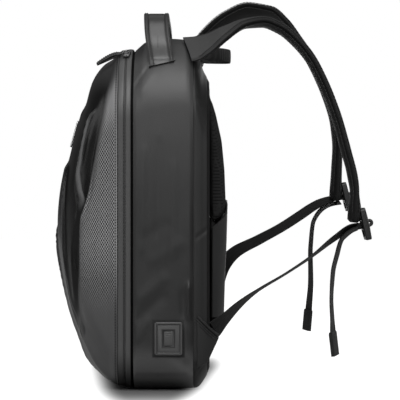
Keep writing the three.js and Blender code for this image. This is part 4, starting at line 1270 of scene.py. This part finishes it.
def handleCloth():
    paint = Paint("handleCloth")
    z = paint.place("Z")
    edge = (paint.cloth("X") * (fullTurn / handle["mapWidth"])).cosine().size().rise(0.26, 0.34)
    streaks = paint.clouds(220, 3, (1, 1, 0.06))
    clouds = paint.clouds(30, 2)
    tone = 0.022 + streaks * 0.02 + clouds * 0.006
    tone = tone * (1 - edge * 0.42)
    # the short dark slit in the middle of each leg
    slit = (paint.place("Y") + 0.0075).bell(0, 0.0014) * z.rise(0.449, 0.451) * (1 - z.rise(0.466, 0.468))
    tone = tone * (1 - slit * 0.85)
    tone = tone * (1 - z.rise(0.452, 0.486) * 0.86)
    colour = paint.blend(tone, grey(0), grey(1))
    return paint.finish(colour, 0.4 + edge * 0.15, streaks * 0.6 + clouds * 0.5, 0.0003, specular=0.45)


handlePiece, handleSeams = makeHandle()
handleMaterial = handleCloth()
sewSeams("handle_stitches", handleSeams, darkThread, "handle", pitch=3.2, long=2.2, wide=0.6, high=0.5)


def baseWelt(sign):
    # the puckered seam that the leg's end goes under
    stations = []
    arc = body["topRadius"]
    for y, z in ((-18.8, 424.6), (-16.5, 426.6), (-12.2, 428.6), (-4, 431), (3.5, 432.8), (10, 433.6),
                 (15.6, 433.6)):
        out = math.asin((z - body["height"] + arc) / arc)
        x = body["half"] - arc + (arc - 0.4) * math.cos(out)
        across = Vector((-sign * math.sin(out), 0, math.cos(out)))
        stations.append((Vector((sign * x, y, z)), across, 4.2, 5.4))
    piece = sweepPiece("handle_base_" + ("right" if sign > 0 else "left"), stations, flatSection(2.2), 20, 60)
    dress(piece, sideCloth, "handle")


for sign in (1, -1):
    baseWelt(sign)
dress(handlePiece, handleMaterial, "handle", "carry_handle")
loopPiece = copyNode("haul_loop", "hanging_loop", levels=2)
dress(loopPiece, webbingCloth("loopWeave", 0.006, mapped=False), "webbing", "haul_loop")


# hard fittings

def brushed(name, shade, rough, spread, scale):
    paint = Paint(name)
    roughness = rough + paint.clouds(scale, 3) * spread
    return paint.finish(grey(shade), roughness, paint.clouds(900, 2), 0.00005, metallic=1.0)


metal = brushed("brushedMetal", 0.62, 0.28, 0.12, 400)
darkMetal = brushed("darkMetal", 0.16, 0.24, 0.14, 300)


def pickFaces(piece, test):
    # selects the faces that pass a test of their centre in mm and their normal
    pickOnly(piece)
    bpy.ops.object.mode_set(mode="EDIT")
    bpy.ops.mesh.select_mode(type="FACE")
    bpy.ops.mesh.select_all(action="DESELECT")
    bpy.ops.object.mode_set(mode="OBJECT")
    for face in piece.data.polygons:
        face.select = test(face.center / mm, face.normal)
    bpy.ops.object.mode_set(mode="EDIT")


def pushFaces(inset, push):
    # draws the picked faces in by an inset and moves them along X
    if inset:
        bpy.ops.mesh.inset(thickness=inset * mm, depth=0)
    bpy.ops.mesh.extrude_region_move(TRANSFORM_OT_translate={"value": (push * mm, 0, 0)})


port = {
    "middle": (7, 70), "window": 7.0, "sink": -1.7, "plug": 1.5, "rise": 1.3,
    "grips": (77.4, 74.6, 71.8), "gripWide": 8,
}


def portRubber():
    paint = Paint("portRubber")
    grain = paint.clouds(1400, 2)
    y, z = paint.place("Y"), paint.place("Z")
    beside = ((y - 0.007).size() - 0.018).most((z - 0.07).size() - 0.0215)
    # painted shade in the port's trench and along the inner edge of its frame
    grooveShade = (beside + 0.0101).bell(0, 0.0017) + (beside + 0.0026).bell(0, 0.0012) * 0.75
    tone = (0.05 + grain * 0.015) * (1 - grooveShade.least(1) * 0.93)
    return paint.finish(paint.blend(tone, grey(0), grey(1)), 0.42, grain, 0.00006, specular=0.5)


rubber = portRubber()


def makePort():
    ring = copyNode("port_frame", "port_surround")
    pickFaces(ring, lambda centre, normal: normal.x > 0.9)
    pushFaces(0.9, 0.5)
    bpy.ops.object.mode_set(mode="OBJECT")
    softenEdges(ring, 0.35)
    low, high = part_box("port_flap")
    deselect()
    bpy.ops.mesh.primitive_cube_add(size=1, location=[(a + b) / 2 for a, b in zip(low, high)],
                                    scale=[b - a for a, b in zip(low, high)])
    bpy.ops.object.transform_apply(location=True, rotation=True, scale=True)
    flap = bpy.context.object
    flap.name = "port_cover"
    pickFaces(flap, lambda centre, normal: normal.x > 0.9)
    pushFaces(port["window"], port["sink"])
    pushFaces(port["plug"], port["rise"])
    bpy.ops.object.mode_set(mode="OBJECT")
    softenEdges(flap, 0.3)
    dress(ring, rubber, "rubber", "port_frame")
    dress(flap, rubber, "rubber", "port_flap")
    face = max(vertex.co.x for vertex in flap.data.vertices) / mm + port["sink"] + port["rise"]
    for i, z in enumerate(port["grips"]):
        deselect()
        bpy.ops.mesh.primitive_cube_add(size=1, location=(face * mm, port["middle"][0] * mm, z * mm),
                                        scale=(0.8 * mm, port["gripWide"] * mm, 1.1 * mm))
        bpy.ops.object.transform_apply(location=True, rotation=True, scale=True)
        grip = bpy.context.object
        grip.name = f"port_grip_{i + 1}"
        softenEdges(grip, 0.3)
        dress(grip, rubber, "rubber")


makePort()
dress(copyNode("front_badge", "bare_badge", bevel=0.4), metal, "badge", "front_badge")

zipPull = {"slider": (101.15, -50.2, 444.2), "tilt": 30, "wide": 8, "thick": 4, "ribs": 12,
           "course": [(101.5, -56.5, 445), (100.9, -62, 445), (100.3, -68, 443.8), (98.6, -76, 440.3),
                      (96.6, -83, 436.2), (94, -89.3, 432)]}


def makeSlider():
    tilt = math.radians(zipPull["tilt"])
    x, y, z = zipPull["slider"]
    deselect()
    bpy.ops.mesh.primitive_cube_add(size=1, scale=(14 * mm, 12 * mm, 4 * mm))
    bpy.ops.object.transform_apply(location=False, rotation=False, scale=True)
    slider = bpy.context.object
    slider.name = "slider_body"
    pickFaces(slider, lambda centre, normal: normal.z > 0.9)
    bpy.ops.mesh.inset(thickness=1.4 * mm, depth=0)
    bpy.ops.mesh.extrude_region_move(TRANSFORM_OT_translate={"value": (0, 0, 0.5 * mm)})
    bpy.ops.object.mode_set(mode="OBJECT")
    pickFaces(slider, lambda centre, normal: normal.x > 0.9)
    bpy.ops.transform.resize(value=(1, 0.62, 0.8))
    bpy.ops.object.mode_set(mode="OBJECT")
    softenEdges(slider, 0.7, 3)
    bridge = addTorus("slider_bridge", (0, -0.6, 1.9), 3.4, 0.8, (0, math.pi / 2, 0))
    link = addTorus("slider_link", (0, -5.6, 3.2), 3.0, 0.7, (0.5, 0, 0))
    for part in (bridge, link):
        part.select_set(True)
    slider.select_set(True)
    bpy.context.view_layer.objects.active = slider
    bpy.ops.object.join()
    slider.data.transform(Matrix.Translation(Vector((x, y, z)) * mm) @ Matrix.Rotation(tilt, 4, "Y"))
    smoothShade(slider)
    dress(slider, darkMetal, "badge", "zip_slider")
    across = Vector((math.cos(tilt), 0, -math.sin(tilt)))
    stations = [(Vector(place), across, zipPull["wide"] * (1 if i else 0.7), zipPull["thick"])
                for i, place in enumerate(zipPull["course"])]

    def ribbed(u, v):
        a, o = flatSection(2.6)(u, v)
        rib = 1 + 0.26 * math.sin(fullTurn * v * zipPull["ribs"]) * ease(v, 0.1, 0.16)
        return a * (0.9 + 0.1 * rib), o * rib * (1 - 0.25 * bell(abs(a), 0.62, 0.1))

    pull = sweepPiece("cord_puller", stations, ribbed, 28, 110)
    dress(pull, blackPlastic, "plastic", "zip_puller")


makeSlider()
print("fittings made")


def ringLine(y, lift):
    # a line round the bag at one depth, a little proud of the surface
    line = []
    for i in range(401):
        x, z, nx, nz = sidePoint(i / 400, y)
        here = Vector((x + lift * nx, y, z + lift * nz))
        line.append((here, Vector((nx, 0, nz))))
    return line


sewSeams("shell_stitches", [ringLine(-59.2, -0.3)], darkThread, "shell", long=2.4, wide=0.9, high=0.8)
sewSeams("side_stitches", [ringLine(40.6, -0.6)], darkThread, "coated", pitch=3.4, long=2.2)
print("seams sewn")
